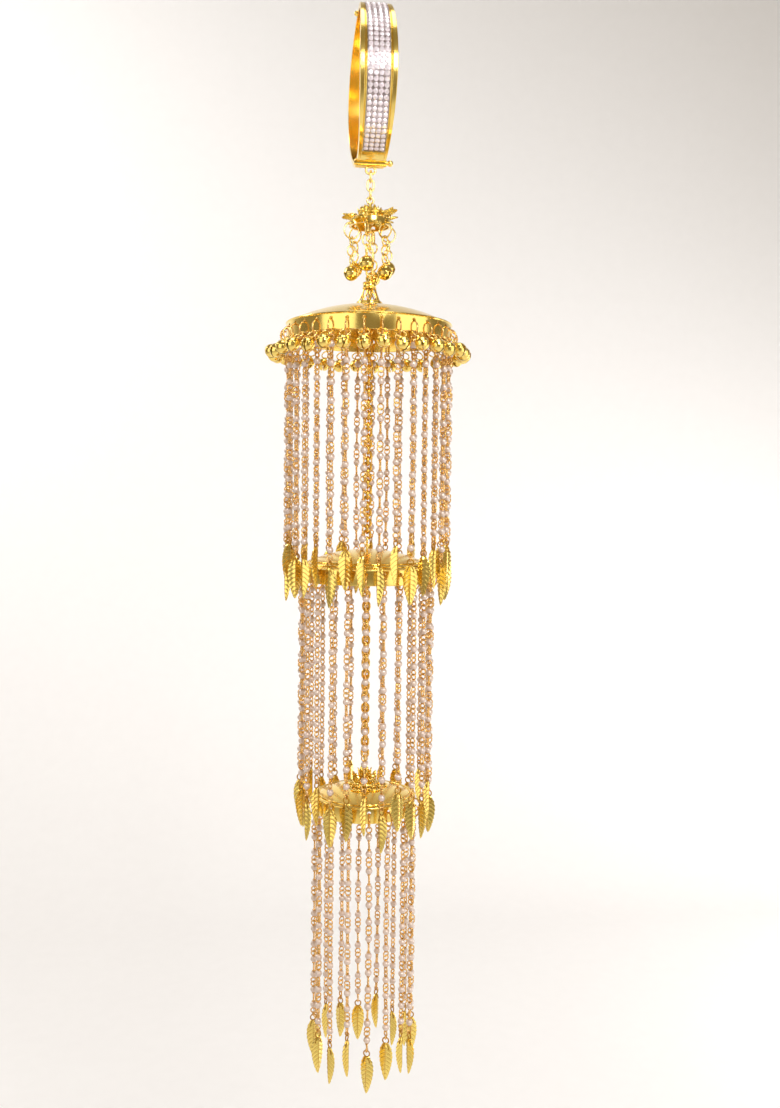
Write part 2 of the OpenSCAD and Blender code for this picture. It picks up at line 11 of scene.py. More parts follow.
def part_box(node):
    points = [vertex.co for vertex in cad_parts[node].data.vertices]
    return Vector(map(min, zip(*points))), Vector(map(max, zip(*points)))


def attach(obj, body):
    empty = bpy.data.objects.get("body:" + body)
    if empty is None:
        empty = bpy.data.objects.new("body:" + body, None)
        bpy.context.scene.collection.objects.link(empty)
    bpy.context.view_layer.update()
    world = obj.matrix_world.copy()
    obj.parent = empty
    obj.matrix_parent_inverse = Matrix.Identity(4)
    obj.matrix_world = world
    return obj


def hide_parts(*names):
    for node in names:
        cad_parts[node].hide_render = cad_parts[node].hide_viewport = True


bl_info = {
    "name": "Bridal ornament",
    "version": (1, 0, 0),
    "blender": (4, 5, 0),
    "location": "3D View > Sidebar > Ornament",
    "description": "Builds the stones, bells, domes, pearl strings and leaves of a hanging bridal ornament",
    "category": "Object",
}

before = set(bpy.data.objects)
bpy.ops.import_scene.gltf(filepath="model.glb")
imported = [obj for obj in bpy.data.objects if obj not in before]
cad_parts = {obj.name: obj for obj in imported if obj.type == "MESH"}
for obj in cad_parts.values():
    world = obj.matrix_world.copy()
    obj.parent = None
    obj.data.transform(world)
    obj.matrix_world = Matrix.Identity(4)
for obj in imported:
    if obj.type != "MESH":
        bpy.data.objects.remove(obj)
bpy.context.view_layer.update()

MM = 0.001
FULL = math.tau
BANGLE, REAR, DROP = "bangle", "bangle_rear", "drop"


def top_of(node):
    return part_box(node)[1][2] / MM


def foot_of(node):
    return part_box(node)[0][2] / MM


def middle_of(node):
    """Height halfway up a node"""
    return (top_of(node) + foot_of(node)) / 2


def width_of(node):
    low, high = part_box(node)
    return (high[0] - low[0]) / MM


def length(name, description, millimetres, **limits):
    """Length that a user can change, held in metres"""
    return FloatProperty(name=name, description=description, default=millimetres * MM,
                         unit="LENGTH", **limits)


class OrnamentSizes(bpy.types.PropertyGroup):
    """Sizes of the pieces; the defaults are in millimetres"""
    bangle_inside: length("Bangle inside", "Inside diameter of the bangle", 57.2, min=0.05, max=0.07)
    band_width: length("Band width", "Widest place of the band", 14.6)
    band_end: length("Band end", "Width of the band at catch and hinge", 11.6)
    strip_wall: length("Strip wall", "Metal under the stones", 1.4)
    rim_height: length("Rim height", "Raised rims above the strip", 0.8)
    rim_width: length("Rim width", "Width of each raised rim", 2.8)
    plate_length: length("Plate length", "Plain plate at a half's ends", 10.5)
    step_length: length("Step length", "Lowered step beside the hinge", 5.4)
    hanger_width: length("Hanger width", "Outer width of the soldered loop", 4.9)
    hanger_height: length("Hanger height", "Outer height of the soldered loop", 3.7)
    stone_pitch: length("Stone pitch", "From stone to stone", 2.15)
    stone_rows: IntProperty(name="Stone rows", description="Rows of stones across the band", default=4)
    barrel_radius: length("Barrel radius", "Radius of the hinge", 1.6)
    barrel_length: length("Barrel length", "Whole length of the hinge", 12.8)
    knuckle_length: length("Knuckle length", "Middle knuckle", 5.6)
    link_length: length("Link length", "Outer length of a link", 5.4)
    link_width: length("Link width", "Outer width of a link", 3.4)
    wire: length("Wire", "Wire radius of links and pins", 0.45)
    eye: length("Eye", "Radius of a pin's eye", 1.3)
    hub: length("Hub", "Radius of the petal cap's hub", 8.4)
    petal_length: length("Petal length", "A petal beyond the hub", 4.0)
    petal_width: length("Petal width", "Width of a petal", 6.4)
    top_bell: length("Top bell", "Radius of a bell under the petals", 3.1)
    rim_bell: length("Rim bell", "Radius of a bell on the rim", 2.8)
    band_height: length("Band height", "Height of a dome's band", 6.6)
    sheet: length("Sheet", "Sheet thickness of the domes", 0.8)
    hole: length("Hole", "Radius of the wires' holes", 0.8)
    hole_up: length("Hole height", "From the rim up to the holes", 4.5)
    string_ring: length("String ring", "Ring through the band", 2.9)
    thin_wire: length("Thin wire", "Wire radius of thin rings", 0.35)
    pearl: length("Pearl", "Radius of a pearl", 1.42)
    pearl_pitch: length("Pearl pitch", "From pearl to pearl", 6.9)
    leaf_length: length("Leaf length", "Length of a leaf", 16.0)
    leaf_width: length("Leaf width", "Width of a leaf", 5.8)


class OrnamentColours(bpy.types.PropertyGroup):
    """Colours of the finishes"""
    gold: FloatVectorProperty(name="Gold", description="Polished gold", subtype="COLOR", size=3,
                              default=(1.0, 0.745, 0.22))
    pale_gold: FloatVectorProperty(name="Pale gold", description="Wire, rings and links", subtype="COLOR",
                                   size=3, default=(1.0, 0.76, 0.29))
    # Partly the wire's own orange gold, partly painted shade: darker, for the shade between the pearls
    link_wire: FloatVectorProperty(name="Link wire", description="Wire between the pearls",
                                   subtype="COLOR", size=3, default=(0.82, 0.51, 0.19))
    leaf_gold: FloatVectorProperty(name="Leaf gold", description="Stamped leaves", subtype="COLOR",
                                   size=3, default=(1.0, 0.74, 0.2))
    # Painted shade: the chain's gold is darker and more orange, for the shade inside the domes where it
    # hangs
    chain_gold: FloatVectorProperty(name="Chain gold", description="Chain on the axis", subtype="COLOR",
                                    size=3, default=(0.82, 0.5, 0.1))
    pearl: FloatVectorProperty(name="Pearl", description="Pearls", subtype="COLOR", size=3,
                               default=(0.7, 0.58, 0.5))
    stone: FloatVectorProperty(name="Stone", description="Clear stones", subtype="COLOR", size=3,
                               default=(0.9, 0.88, 0.9))


class Millimetres:
    """Reads the lengths of a group in millimetres, and its counts as they are"""

    def __init__(self, group):
        self.group = group

    def __getattr__(self, name):
        value = getattr(self.group, name)
        return round(value / MM, 4) if isinstance(value, float) else value


def sizes():
    return Millimetres(bpy.context.scene.ornament_sizes)


def colours():
    return bpy.context.scene.ornament_colours


class Flow:
    """A shader socket that takes part in Python expressions"""

    def __init__(self, tree, socket):
        self.tree = tree
        self.socket = socket

    def apply(self, operation, other=0.0, swap=False):
        node = self.tree.nodes.new("ShaderNodeMath")
        node.operation = operation
        values = (other, self) if swap else (self, other)
        for socket, value in zip(node.inputs, values):
            plug(self.tree, socket, value)
        return Flow(self.tree, node.outputs[0])

    def __add__(self, other):
        return self.apply("ADD", other)

    def __radd__(self, other):
        return self.apply("ADD", other)

    def __sub__(self, other):
        return self.apply("SUBTRACT", other)

    def __rsub__(self, other):
        return self.apply("SUBTRACT", other, swap=True)

    def __mul__(self, other):
        return self.apply("MULTIPLY", other)

    def __rmul__(self, other):
        return self.apply("MULTIPLY", other)


def plug(tree, socket, value):
    """Links a Flow, or sets a plain value"""
    if isinstance(value, Flow):
        tree.links.new(value.socket, socket)
    elif value is not None:
        socket.default_value = value


class Finish:
    """A material whose nodes are added one call at a time"""

    def __init__(self, name, **fixed):
        self.material = bpy.data.materials.new(name)
        self.material.use_nodes = True
        self.tree = self.material.node_tree
        self.shader = self.tree.nodes["Principled BSDF"]
        for key, value in fixed.items():
            self.shader.inputs[key.replace("_", " ")].default_value = value
        self.place = self.node("ShaderNodeTexCoord", out="Object")

    def node(self, kind, settings=None, out=0, **values):
        """Adds a node with its settings first, then its sockets' values or links"""
        node = self.tree.nodes.new(kind)
        for key, value in (settings or {}).items():
            setattr(node, key, value)
        for key, value in values.items():
            plug(self.tree, node.inputs[key], value)
        return Flow(self.tree, node.outputs[out])

    def attribute(self, name):
        return self.node("ShaderNodeAttribute", {"attribute_name": name}, out="Fac")

    def noise(self, scale, detail=2.0, roughness=0.5):
        return self.node("ShaderNodeTexNoise", Vector=self.place, Scale=scale, Detail=detail,
                         Roughness=roughness)

    def mix(self, factor, first, second):
        """Mixes two colours; a Mix node's colour sockets come after its number and vector sockets"""
        node = self.tree.nodes.new("ShaderNodeMix")
        node.data_type = "RGBA"
        for place, value in ((0, factor), (6, first), (7, second)):
            plug(self.tree, node.inputs[place], value)
        return Flow(self.tree, node.outputs[2])

    def bump(self, height, strength, distance):
        return self.node("ShaderNodeBump", Height=height, Strength=strength, Distance=distance)

    def feed(self, **links):
        for key, value in links.items():
            plug(self.tree, self.shader.inputs[key.replace("_", " ")], value)
        return self.material


FINE_RELIEF = 0.00002


def rgba(colour, gain=1.0):
    """A colour made lighter or darker, with the alpha that sockets want"""
    return (min(colour[0] * gain, 1), min(colour[1] * gain, 1), min(colour[2] * gain, 1), 1)


def toned(colour, red, green, blue):
    """A colour with its own share of each channel"""
    return (colour[0] * red, colour[1] * green, colour[2] * blue, 1)


def gold_finish(name, colour, rough, scratch):
    """Plated gold: warm clouds of tone, fine rubbing marks and faint handling blur"""
    made = Finish(name, Metallic=1.0)
    cloud = made.noise(90, 3)
    rub = made.noise(1400, 2, 0.7)
    tone = made.mix(cloud, toned(colour, 0.93, 0.86, 0.7), rgba(colour, 1.04))
    blur = cloud * 0.1 + rub * 0.06 + (rough - 0.07)
    return made.feed(Base_Color=tone, Roughness=blur, Normal=made.bump(rub, scratch, FINE_RELIEF))


def leaf_finish():
    """Stamped gold with painted shade as darker lines along the veins and midrib, drawn along the blade's
    own attributes
    """
    colour = colours().leaf_gold
    made = Finish("stamped_leaf", Metallic=1.0)
    veins, vein_edge, midrib_edge = LEAF_TEETH, 7.0, 12.0
    side = made.attribute("across").apply("ABSOLUTE")
    slant = made.attribute("along") - side * VEIN_SLANT
    vein = (slant * veins).apply("PINGPONG", 0.5)
    line = (vein * vein_edge).apply("MINIMUM", side * midrib_edge).apply("MINIMUM", 1.0)
    cloud = made.noise(110, 2)
    face = made.mix(cloud, rgba(colour, 0.92), rgba(colour, 1.05))
    # Painted shade: the dark brown tone fills the vein and midrib lines
    tone = made.mix(line, toned(colour, 0.5, 0.34, 0.16), face)
    return made.feed(Base_Color=tone, Roughness=0.42 - line * 0.22 + cloud * 0.06)


def pearl_finish():
    """Imitation pearl: cream body with rosy and cool drifts under a glossy coat"""
    body = colours().pearl
    made = Finish("pearl_lustre", Coat_Roughness=0.1, Specular_IOR_Level=0.7)
    drift = made.noise(260, 2)
    fleck = made.noise(2600, 2, 0.6)
    tone = made.mix(drift, toned(body, 0.98, 0.9, 0.88), rgba(body, 1.04))
    return made.feed(Base_Color=tone, Roughness=0.36 + drift * 0.06, Coat_Weight=0.8 + drift * 0.2,
                     Metallic=0.5 + drift * 0.1, Normal=made.bump(fleck, 0.12, FINE_RELIEF))


def stone_finish():
    """Foil-backed clear stones: bright facets that mirror the room"""
    tint = colours().stone
    made = Finish("clear_facets", Metallic=0.6)
    flash = made.noise(700, 1)
    tone = made.mix(flash, toned(tint, 1.0, 0.86, 0.93), rgba(tint, 1.06))
    return made.feed(Base_Color=tone, Roughness=0.14 + flash * 0.12)


def setting_finish():
    """Grey metal cups and grains that hold the stones: partly the setting's own bright grey, partly painted
    shade for the gaps between the stones
    """
    made = Finish("stone_setting", Metallic=1.0)
    cloud = made.noise(500, 2)
    # Partly painted shade: the grey is kept darker than bright white metal, for the shade in the gaps
    # between the stones
    tone = made.mix(cloud, (0.42, 0.36, 0.37, 1), (0.68, 0.61, 0.6, 1))
    return made.feed(Base_Color=tone, Roughness=0.18 + cloud * 0.14)


def wall_finish():
    """Matt off-white board behind and below the ornament"""
    made = Finish("matt_paint")
    grain = made.noise(60, 3)
    return made.feed(Base_Color=made.mix(grain, (0.9, 0.89, 0.89, 1), (0.93, 0.92, 0.92, 1)),
                     Roughness=grain * 0.1 + 0.75)


FINISHES = {}


def finish(name):
    """Makes each finish once and hands it out by name"""
    makers = {
        "gold": lambda: gold_finish("polished_gold", colours().gold, 0.16, 0.1),
        "wire": lambda: gold_finish("gold_wire", colours().pale_gold, 0.22, 0.2),
        "leaf": leaf_finish,
        # Painted shade: the chain gets the darker gold
        "chain": lambda: gold_finish("chain_gold", colours().chain_gold, 0.2, 0.1),
        # Partly painted shade: the wire between the pearls gets the darker gold
        "links": lambda: gold_finish("link_wire", colours().link_wire, 0.26, 0.1),
        "pearl": pearl_finish,
        "stone": stone_finish,
        "setting": setting_finish,
        "wall": wall_finish,
    }
    if name not in FINISHES:
        FINISHES[name] = makers[name]()
    return FINISHES[name]


# Mesh helpers: every template is in millimetres round its own origin


def mesh_from(bm, smooth=True, part=0, crisp=None):
    """Ends a bmesh as a mesh with outward faces; edges over the crisp angle stay hard"""
    bmesh.ops.remove_doubles(bm, verts=bm.verts, dist=0.0005)
    bmesh.ops.recalc_face_normals(bm, faces=bm.faces)
    for edge in edges_over(bm, math.radians(crisp)) if crisp else ():
        edge.smooth = False
    for face in bm.faces:
        face.smooth = smooth
        face.material_index = part
    mesh = bpy.data.meshes.new("template")
    bm.to_mesh(mesh)
    bm.free()
    return mesh


def spun(points, steps, closed=False, part=0, crisp=None):
    """Turns a profile of (radius, height) right round Z"""
    bm = bmesh.new()
    verts = [bm.verts.new((r, 0, z)) for r, z in points]
    pairs = list(zip(verts, verts[1:])) + ([(verts[-1], verts[0])] if closed else [])
    edges = [bm.edges.new(pair) for pair in pairs]
    bmesh.ops.spin(bm, geom=verts + edges, cent=(0, 0, 0), axis=(0, 0, 1), angle=FULL, steps=steps,
                   use_merge=True, use_duplicate=False)
    return mesh_from(bm, True, part, crisp)


def ring_mesh(radius, wire, turns=24, sides=8, part=0):
    """Ring of round wire lying flat"""
    around = [(radius + wire * math.cos(FULL * k / sides), wire * math.sin(FULL * k / sides))
              for k in range(sides)]
    return spun(around, turns, closed=True, part=part)


def ball_mesh(radius, around=16, up=10, part=0):
    """Ball round the origin"""
    bm = bmesh.new()
    bmesh.ops.create_uvsphere(bm, u_segments=around, v_segments=up, radius=radius)
    return mesh_from(bm, True, part)


def edges_over(bm, angle):
    """Edges whose two faces meet at more than an angle in radians"""
    return [e for e in bm.edges if len(e.link_faces) == 2 and e.calc_face_angle() > angle]


def rod_mesh(radius, length, sides=16, bevel=0.0):
    """Upright rod round the origin"""
    bm = bmesh.new()
    bmesh.ops.create_cone(bm, cap_ends=True, segments=sides, radius1=radius, radius2=radius, depth=length)
    if bevel:
        bmesh.ops.bevel(bm, geom=edges_over(bm, 1), offset=bevel, segments=2, profile=0.5,
                        affect="EDGES", material=-1)
    return mesh_from(bm, True, crisp=50)


def wire_mesh(points, wire, closed=False, sides=6, part=0):
    """Round wire along points, swept by a curve"""
    curve = bpy.data.curves.new("route", "CURVE")
    curve.dimensions = "3D"
    curve.bevel_depth = wire
    curve.bevel_resolution = max(sides // 2 - 2, 0)
    curve.use_fill_caps = True
    spline = curve.splines.new("POLY")
    spline.points.add(len(points) - 1)
    for point, place in zip(spline.points, points):
        point.co = (*place, 1)
    spline.use_cyclic_u = closed
    holder = bpy.data.objects.new("route", curve)
    mesh = bpy.data.meshes.new_from_object(holder)
    bpy.data.objects.remove(holder)
    bpy.data.curves.remove(curve)
    bm = bmesh.new()
    bm.from_mesh(mesh)
    bpy.data.meshes.remove(mesh)
    return mesh_from(bm, True, part)


def link_mesh(length, width, wire, bends=7, sides=8, part=0):
    """Long link standing up and facing the front"""
    bend = width / 2 - wire
    side = length / 2 - width / 2
    points = []
    for end in (1, -1):
        for k in range(bends + 1):
            turn = math.pi * k / bends
            points.append((end * bend * math.cos(turn), 0, end * (side + bend * math.sin(turn))))
    return wire_mesh(points, wire, closed=True, sides=sides, part=part)


class Piece:
    """Gathers template copies in millimetres, then becomes one object that rides on a body"""

    def __init__(self, name, finishes):
        self.name = name
        self.finishes = finishes
        self.bm = bmesh.new()

    def add(self, template, place=Matrix(), keep=False):
        """Adds a template at a place; a kept one is turned back for the next copy"""
        template.transform(place)
        self.bm.from_mesh(template)
        if keep:
            template.transform(place.inverted())
        else:
            bpy.data.meshes.remove(template)

    def done(self, body, slot, *nodes):
        """Makes the object in metres, and says what it rides on, replaces and is made of"""
        mesh = bpy.data.meshes.new(self.name)
        self.bm.to_mesh(mesh)
        self.bm.free()
        mesh.transform(Matrix.Scale(MM, 4))
        for name in self.finishes:
            mesh.materials.append(finish(name))
        piece = bpy.data.objects.new(self.name, mesh)
        bpy.context.collection.objects.link(piece)
        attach(piece, body)
        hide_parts(*nodes)


def at(x=0.0, y=0.0, z=0.0):
    """Shift in millimetres"""
    return Matrix.Translation((x, y, z))


def turned(degrees, axis):
    """Turn about an axis through the origin"""
    return Matrix.Rotation(math.radians(degrees), 4, axis)


def stretched(x, y, z):
    """Stretch along each axis"""
    return Matrix.Diagonal((x, y, z, 1))


FACING_X = turned(90, "Y")
FACING_Y = turned(90, "X")


def cut(mesh, cutters):
    """Takes cutter meshes away from a mesh"""
    solid = bpy.data.objects.new("solid", mesh)
    bpy.context.collection.objects.link(solid)
    holders = []
    group = bpy.data.collections.new("cutters")
    for cutter in cutters:
        holder = bpy.data.objects.new("cutter", cutter)
        group.objects.link(holder)
        holders.append(holder)
    step = solid.modifiers.new("cut", "BOOLEAN")
    step.operation = "DIFFERENCE"
    step.solver = "EXACT"
    step.operand_type = "COLLECTION"
    step.collection = group
    result = bpy.data.meshes.new_from_object(solid.evaluated_get(bpy.context.evaluated_depsgraph_get()))
    bpy.data.objects.remove(solid)
    for holder in holders:
        bpy.data.objects.remove(holder)
    bpy.data.collections.remove(group)
    bm = bmesh.new()
    bm.from_mesh(result)
    bpy.data.meshes.remove(result)
    for edge in bm.edges:
        edge.smooth = len(edge.link_faces) == 2 and edge.calc_face_angle() < math.radians(40)
    for face in bm.faces:
        face.smooth = True
    made = bpy.data.meshes.new("drilled")
    bm.to_mesh(made)
    bm.free()
    return made


# Bangle: degrees run from the hinge at 0 over the rear to the top at 180 and down the front

TOP_DEGREES = 180
CATCH_GAP = 0.2
NEAR_AXIS = 0.01


def at_band(degrees, radius):
    """Frame on the band: local X along the bangle's axis, local Y along the band, local Z outwards"""
    inside = sizes().bangle_inside / 2
    turn = math.radians(degrees)
    out = Vector((0, math.sin(turn), -math.cos(turn)))
    along = Vector((0, math.cos(turn), math.sin(turn)))
    centre = Vector((0, 0, -inside)) + out * radius
    made = Matrix((Vector((1, 0, 0)), along, out)).transposed().to_4x4()
    made.translation = centre
    return made


def band_sector(start, end, profile, steps, bevel=0.22, part=0):
    """Sweeps a closed profile of (radius, x) along the band, with softened edges"""
    bm = bmesh.new()
    verts = [bm.verts.new((r, 0, x)) for r, x in profile]
    edges = [bm.edges.new(pair) for pair in zip(verts, verts[1:] + verts[:1])]
    bmesh.ops.spin(bm, geom=verts + edges, cent=(0, 0, 0), axis=(0, 0, 1), steps=steps,
                   angle=math.radians(end - start), use_duplicate=False)
    bmesh.ops.holes_fill(bm, edges=bm.edges, sides=0)
    bmesh.ops.recalc_face_normals(bm, faces=bm.faces)
    bmesh.ops.bevel(bm, geom=edges_over(bm, 0.7), offset=bevel, segments=3, profile=0.5,
                    affect="EDGES", material=-1)
    mesh = mesh_from(bm, True, part, 12)
    inside = sizes().bangle_inside / 2
    mesh.transform(at(0, 0, -inside) @ turned(90, "Y") @ turned(start, "Z"))
    return mesh


def tapered(mesh):
    """Pulls the band's sides in towards the catch and the hinge, along a large circle"""
    s = sizes()
    inside, half = s.bangle_inside / 2, s.band_width / 2
    tall, bulge = inside + s.strip_wall + s.rim_height, half - s.band_end / 2
    ball = (tall ** 2 + bulge ** 2) / (2 * bulge)
    channel = half - s.rim_width
    for vert in mesh.vertices:
        side = abs(vert.co.x)
        if side > channel:
            up = vert.co.z + inside
            reach = half - ball + math.sqrt(ball * ball - up * up)
            share = (side - channel) / (half - channel)
            vert.co.x = math.copysign(channel + share * (reach - channel), vert.co.x)
    return mesh


def half_band(start, end, hinge_first):
    """Strip with raised rims, a plain plate at both ends and a lowered step beside the hinge"""
    s = sizes()
    inside, half = s.bangle_inside / 2, s.band_width / 2
    floor, edge = inside + s.strip_wall, inside + s.strip_wall + s.rim_height
    channel = half - s.rim_width
    # A fine line is sunk along each rim: (from the channel, below the rim's top)
    sunk_line = ((0.85, 0.0), (0.75, 0.3), (0.6, 0.3), (0.5, 0.05), (0.0, 0.05))
    flanks = [[(inside, side * half), (edge, side * half)]
              + [(edge - down, side * (channel + away)) for away, down in sunk_line]
              + [(floor, side * channel)] for side in (-1, 1)]
    groove = flanks[0] + flanks[1][::-1]
    bottom, top, reach, overlap = floor - 0.4, edge + 0.02, channel + 0.3, 0.3
    plate = [(bottom, -reach), (top, -reach), (top, reach), (bottom, reach)]
    strip = [(inside, -half), (floor, -half), (floor, half), (inside, half)]
    span = math.degrees(s.plate_length / floor)
    step = math.degrees(s.step_length / floor)
    if hinge_first:
        raised, lowered = (step, end), (start, step + overlap)
        plates = ((step, span), (end - span, end))
    else:
        raised, lowered = (start, 360 - step), (360 - step - overlap, end)
        plates = ((start, start + span), (360 - span, 360 - step))
    return [tapered(band_sector(*raised, groove, 72)), tapered(band_sector(*lowered, strip, 12))] \
        + [band_sector(*ends, plate, 10) for ends in plates]


class ORNAMENT_OT_bangle(bpy.types.Operator):
    """Builds both halves of the bangle with hinge and catch"""
    bl_idname = "ornament.bangle"
    bl_label = "Bangle"

    def barrel(self, start, end, radius, turned_rings=0):
        """Rod along the hinge axis, with fine rings turned into it"""
        length, corner, ring, depth = end - start, 0.15, 0.16, 0.14
        line = [(NEAR_AXIS, 0), (radius - corner, 0), (radius, corner)]
        for k in range(turned_rings):
            middle = length * (k + 0.5) / turned_rings
            line += [(radius, middle - ring), (radius - depth, middle), (radius, middle + ring)]
        line += [(radius, length - corner), (radius - corner, length), (NEAR_AXIS, length)]
        mesh = spun(line, 40, crisp=25)
        mesh.transform(at(start, 0, hinge_height()) @ FACING_X)
        return mesh

    def execute(self, context):
        s = sizes()
        half, knuckle, gap = s.barrel_length / 2, s.knuckle_length / 2, 0.1
        beside_hinge = 1.25
        clear = math.degrees(beside_hinge / (s.bangle_inside / 2))
        wall = s.strip_wall + s.rim_height

        front = Piece("front_half", ["gold", "wire"])
        for mesh in half_band(TOP_DEGREES + CATCH_GAP, 360 - clear, False):
            front.add(mesh)
        front.add(self.barrel(gap - knuckle, knuckle - gap, s.barrel_radius, turned_rings=5))
        loop_z = foot_of("bangle_front") + s.hanger_height / 2
        front.add(link_mesh(s.hanger_width, s.hanger_height, s.wire + 0.05, 10, 10, part=1),
                  at(z=loop_z) @ FACING_X)
        front.done(BANGLE, "polished_gold", "bangle_front")

        rear = Piece("rear_half", ["gold", "wire"])
        for mesh in half_band(clear, TOP_DEGREES - CATCH_GAP, True):
            rear.add(mesh)
        for side in (-1, 1):
            ends = sorted((side * (knuckle + gap), side * half))
            rear.add(self.barrel(*ends, s.barrel_radius, turned_rings=4))
        tongue, tongue_size = bmesh.new(), (6, 5, 0.6)
        bmesh.ops.create_cube(tongue, size=1, matrix=at(0, -1.0, wall / 2) @ stretched(*tongue_size))
        rear.add(mesh_from(tongue, False))
        thumb_knob = 1.1
        rear.add(ball_mesh(thumb_knob, 20, 14), at(-s.band_end / 2 - 0.37, 1.3, wall / 2))
        rear.done(REAR, "polished_gold", "bangle_back")

        pin = Piece("pin_with_knob", ["wire"])
        pin_radius, head_radius, knob_radius = 0.7, 1.1, 1.3
        pin.add(self.barrel(-half - 0.2, half + 0.6, pin_radius))
        pin.add(self.barrel(-half - 0.6, -half - 0.05, head_radius))
        pin.add(self.barrel(half + 0.05, half + 0.4, head_radius))
        side = [(0.5, 1.2), (0.95, 0.9), (1.2, 0.5)]
        knob = [(NEAR_AXIS, -knob_radius)] + [(r, -z) for r, z in side] + [(knob_radius, 0)] \
            + side[::-1] + [(NEAR_AXIS, knob_radius)]
        pin.add(spun(knob, 24), at(half + 1.6, 0, hinge_height()) @ FACING_X)
        pin.done(BANGLE, "gold_wire", "hinge_pin")
        return {"FINISHED"}


def hinge_height():
    """Height of the hinge axis"""
    return middle_of("hinge_pin")


def stone_mesh(radius):
    """Round stone with a table, a crown of facets and a pointed back"""
    bm = bmesh.new()
    # Corners in a ring, reach and height as shares of the radius, and turn in steps of the ring
    for count, reach, height, turn in ((16, 1.0, 0.0, 0.0), (16, 0.99, 0.08, 0.0), (8, 0.8, 0.3, 0.5),
                                       (8, 0.52, 0.46, 0.0), (1, 0.0, -0.7, 0.0)):
        for k in range(count):
            around = FULL * (k + turn) / count
            bm.verts.new((radius * reach * math.cos(around), radius * reach * math.sin(around),
                          radius * height))
    bmesh.ops.convex_hull(bm, input=bm.verts)
    return mesh_from(bm, False, 0)


class ORNAMENT_OT_stones(bpy.types.Operator):
    """Sets the rows of stones into the channel of each half"""
    bl_idname = "ornament.stones"
    bl_label = "Set stones"

    def field(self, name, start, end, body, node):
        """One half's rows: a bed, a cup round each stone and a grain between each four"""
        s = sizes()
        floor = s.bangle_inside / 2 + s.strip_wall
        span = math.degrees(s.plate_length / floor)
        channel, seat, radius = s.band_width / 2 - s.rim_width, floor + 0.5, s.stone_pitch * 0.46
        length = math.radians(end - start - 2 * span) * seat
        count = int(length // s.stone_pitch)
        step = math.degrees(s.stone_pitch / seat)
        first = (start + end - step * (count - 1)) / 2
        piece = Piece(name, ["stone", "setting"])
        side, low = channel - 0.05, floor + 0.03
        bed = [(low, -side), (seat, -side), (seat, side), (low, side)]
        piece.add(band_sector(start + span + 0.1, end - span - 0.1, bed, 64, bevel=0.05, part=1))
        stone = stone_mesh(radius)
        cup = ring_mesh(radius, 0.1, 12, 5, part=1)
        grain = ball_mesh(0.24, 8, 5, part=1)
        spread, tilt = random.Random(7), 5
        for k in range(count):
            degrees = first + step * k
            for row in range(s.stone_rows):
                x = (row - (s.stone_rows - 1) / 2) * s.stone_pitch
                tip = turned(spread.uniform(-tilt, tilt), "X") @ turned(spread.uniform(-tilt, tilt), "Y")
                spot = at_band(degrees, seat + 0.12) @ at(x=x)
                piece.add(stone, spot @ tip @ turned(spread.uniform(0, 45), "Z"), keep=True)
                piece.add(cup, at_band(degrees, seat + 0.06) @ at(x=x), keep=True)
        for k in range(count + 1):
            for row in range(s.stone_rows + 1):
                x = (row - s.stone_rows / 2) * s.stone_pitch
                x = max(min(x, channel - 0.25), 0.25 - channel)
                piece.add(grain, at_band(first + step * (k - 0.5), seat + 0.2) @ at(x=x), keep=True)
        piece.done(body, "clear_stone", node)

    def execute(self, context):
        self.field("front_rows", TOP_DEGREES + CATCH_GAP, 360, BANGLE, "front_stones")
        self.field("rear_rows", 0, TOP_DEGREES - CATCH_GAP, REAR, "back_stones")
        return {"FINISHED"}


class ORNAMENT_OT_links(bpy.types.Operator):
    """Builds the links and eye pins of the hanging line"""
    bl_idname = "ornament.links"
    bl_label = "Links and pins"

    def execute(self, context):
        s = sizes()
        for group, count in (("upper_link", 3), ("middle_link", 6)):
            for k in range(count):
                node = "%s_%d" % (group, k + 1)
                piece = Piece(group + "_wire_%d" % (k + 1), ["wire"])
                piece.add(link_mesh(s.link_length, s.link_width, s.wire, 9, 8),
                          at(z=middle_of(node)) @ turned(90 * ((k + 1) % 2), "Z"))
                piece.done(DROP, "gold_wire", node)
        for node, turn in (("upper_pin", 90), ("dome_pin_1", 0), ("dome_pin_2", 0)):
            self.eye_pin(node, turn)
        self.last_pin()
        return {"FINISHED"}

    def eye_pin(self, node, turn):
        """Pin with an eye at both ends and a short coil under the upper one"""
        s = sizes()
        coil_wire, coil_start, coil_pitch = 0.17, 0.55, 0.33
        high = top_of(node) - s.wire - s.eye
        low = foot_of(node) + s.wire + s.eye
        piece = Piece(node + "_wire", ["wire"])
        for z in (high, low):
            piece.add(ring_mesh(s.eye, s.wire, 28, 8), at(z=z) @ turned(turn, "Z") @ FACING_X)
        piece.add(rod_mesh(s.wire, high - low - 2 * s.eye, 12), at(z=(high + low) / 2))
        for k in range(3):
            piece.add(ring_mesh(s.wire + 0.12, coil_wire, 16, 6),
                      at(z=high - s.eye - coil_start - coil_pitch * k))
        piece.done(DROP, "gold_wire", node)

    def last_pin(self):
        """Pin of the lowest dome, which ends in a ball"""
        s = sizes()
        node, ball = "dome_pin_3", 1.2
        high = top_of(node) - s.wire - s.eye
        low = foot_of(node) + ball
        piece = Piece(node + "_wire", ["wire"])
        piece.add(ring_mesh(s.eye, s.wire, 28, 8), at(z=high) @ FACING_X)
        piece.add(rod_mesh(s.wire, high - low - s.eye, 12), at(z=(high - s.eye + low) / 2))
        piece.add(ball_mesh(ball, 20, 12), at(z=low))
        piece.done(DROP, "gold_wire", node)


LEAF_TEETH = 9
VEIN_SLANT = 0.14


def leaf_half(t):
    """Half width of a leaf as a share, from its root at 0 to its tip at 1"""
    return math.sin(math.pi * t ** 0.68) ** 0.75


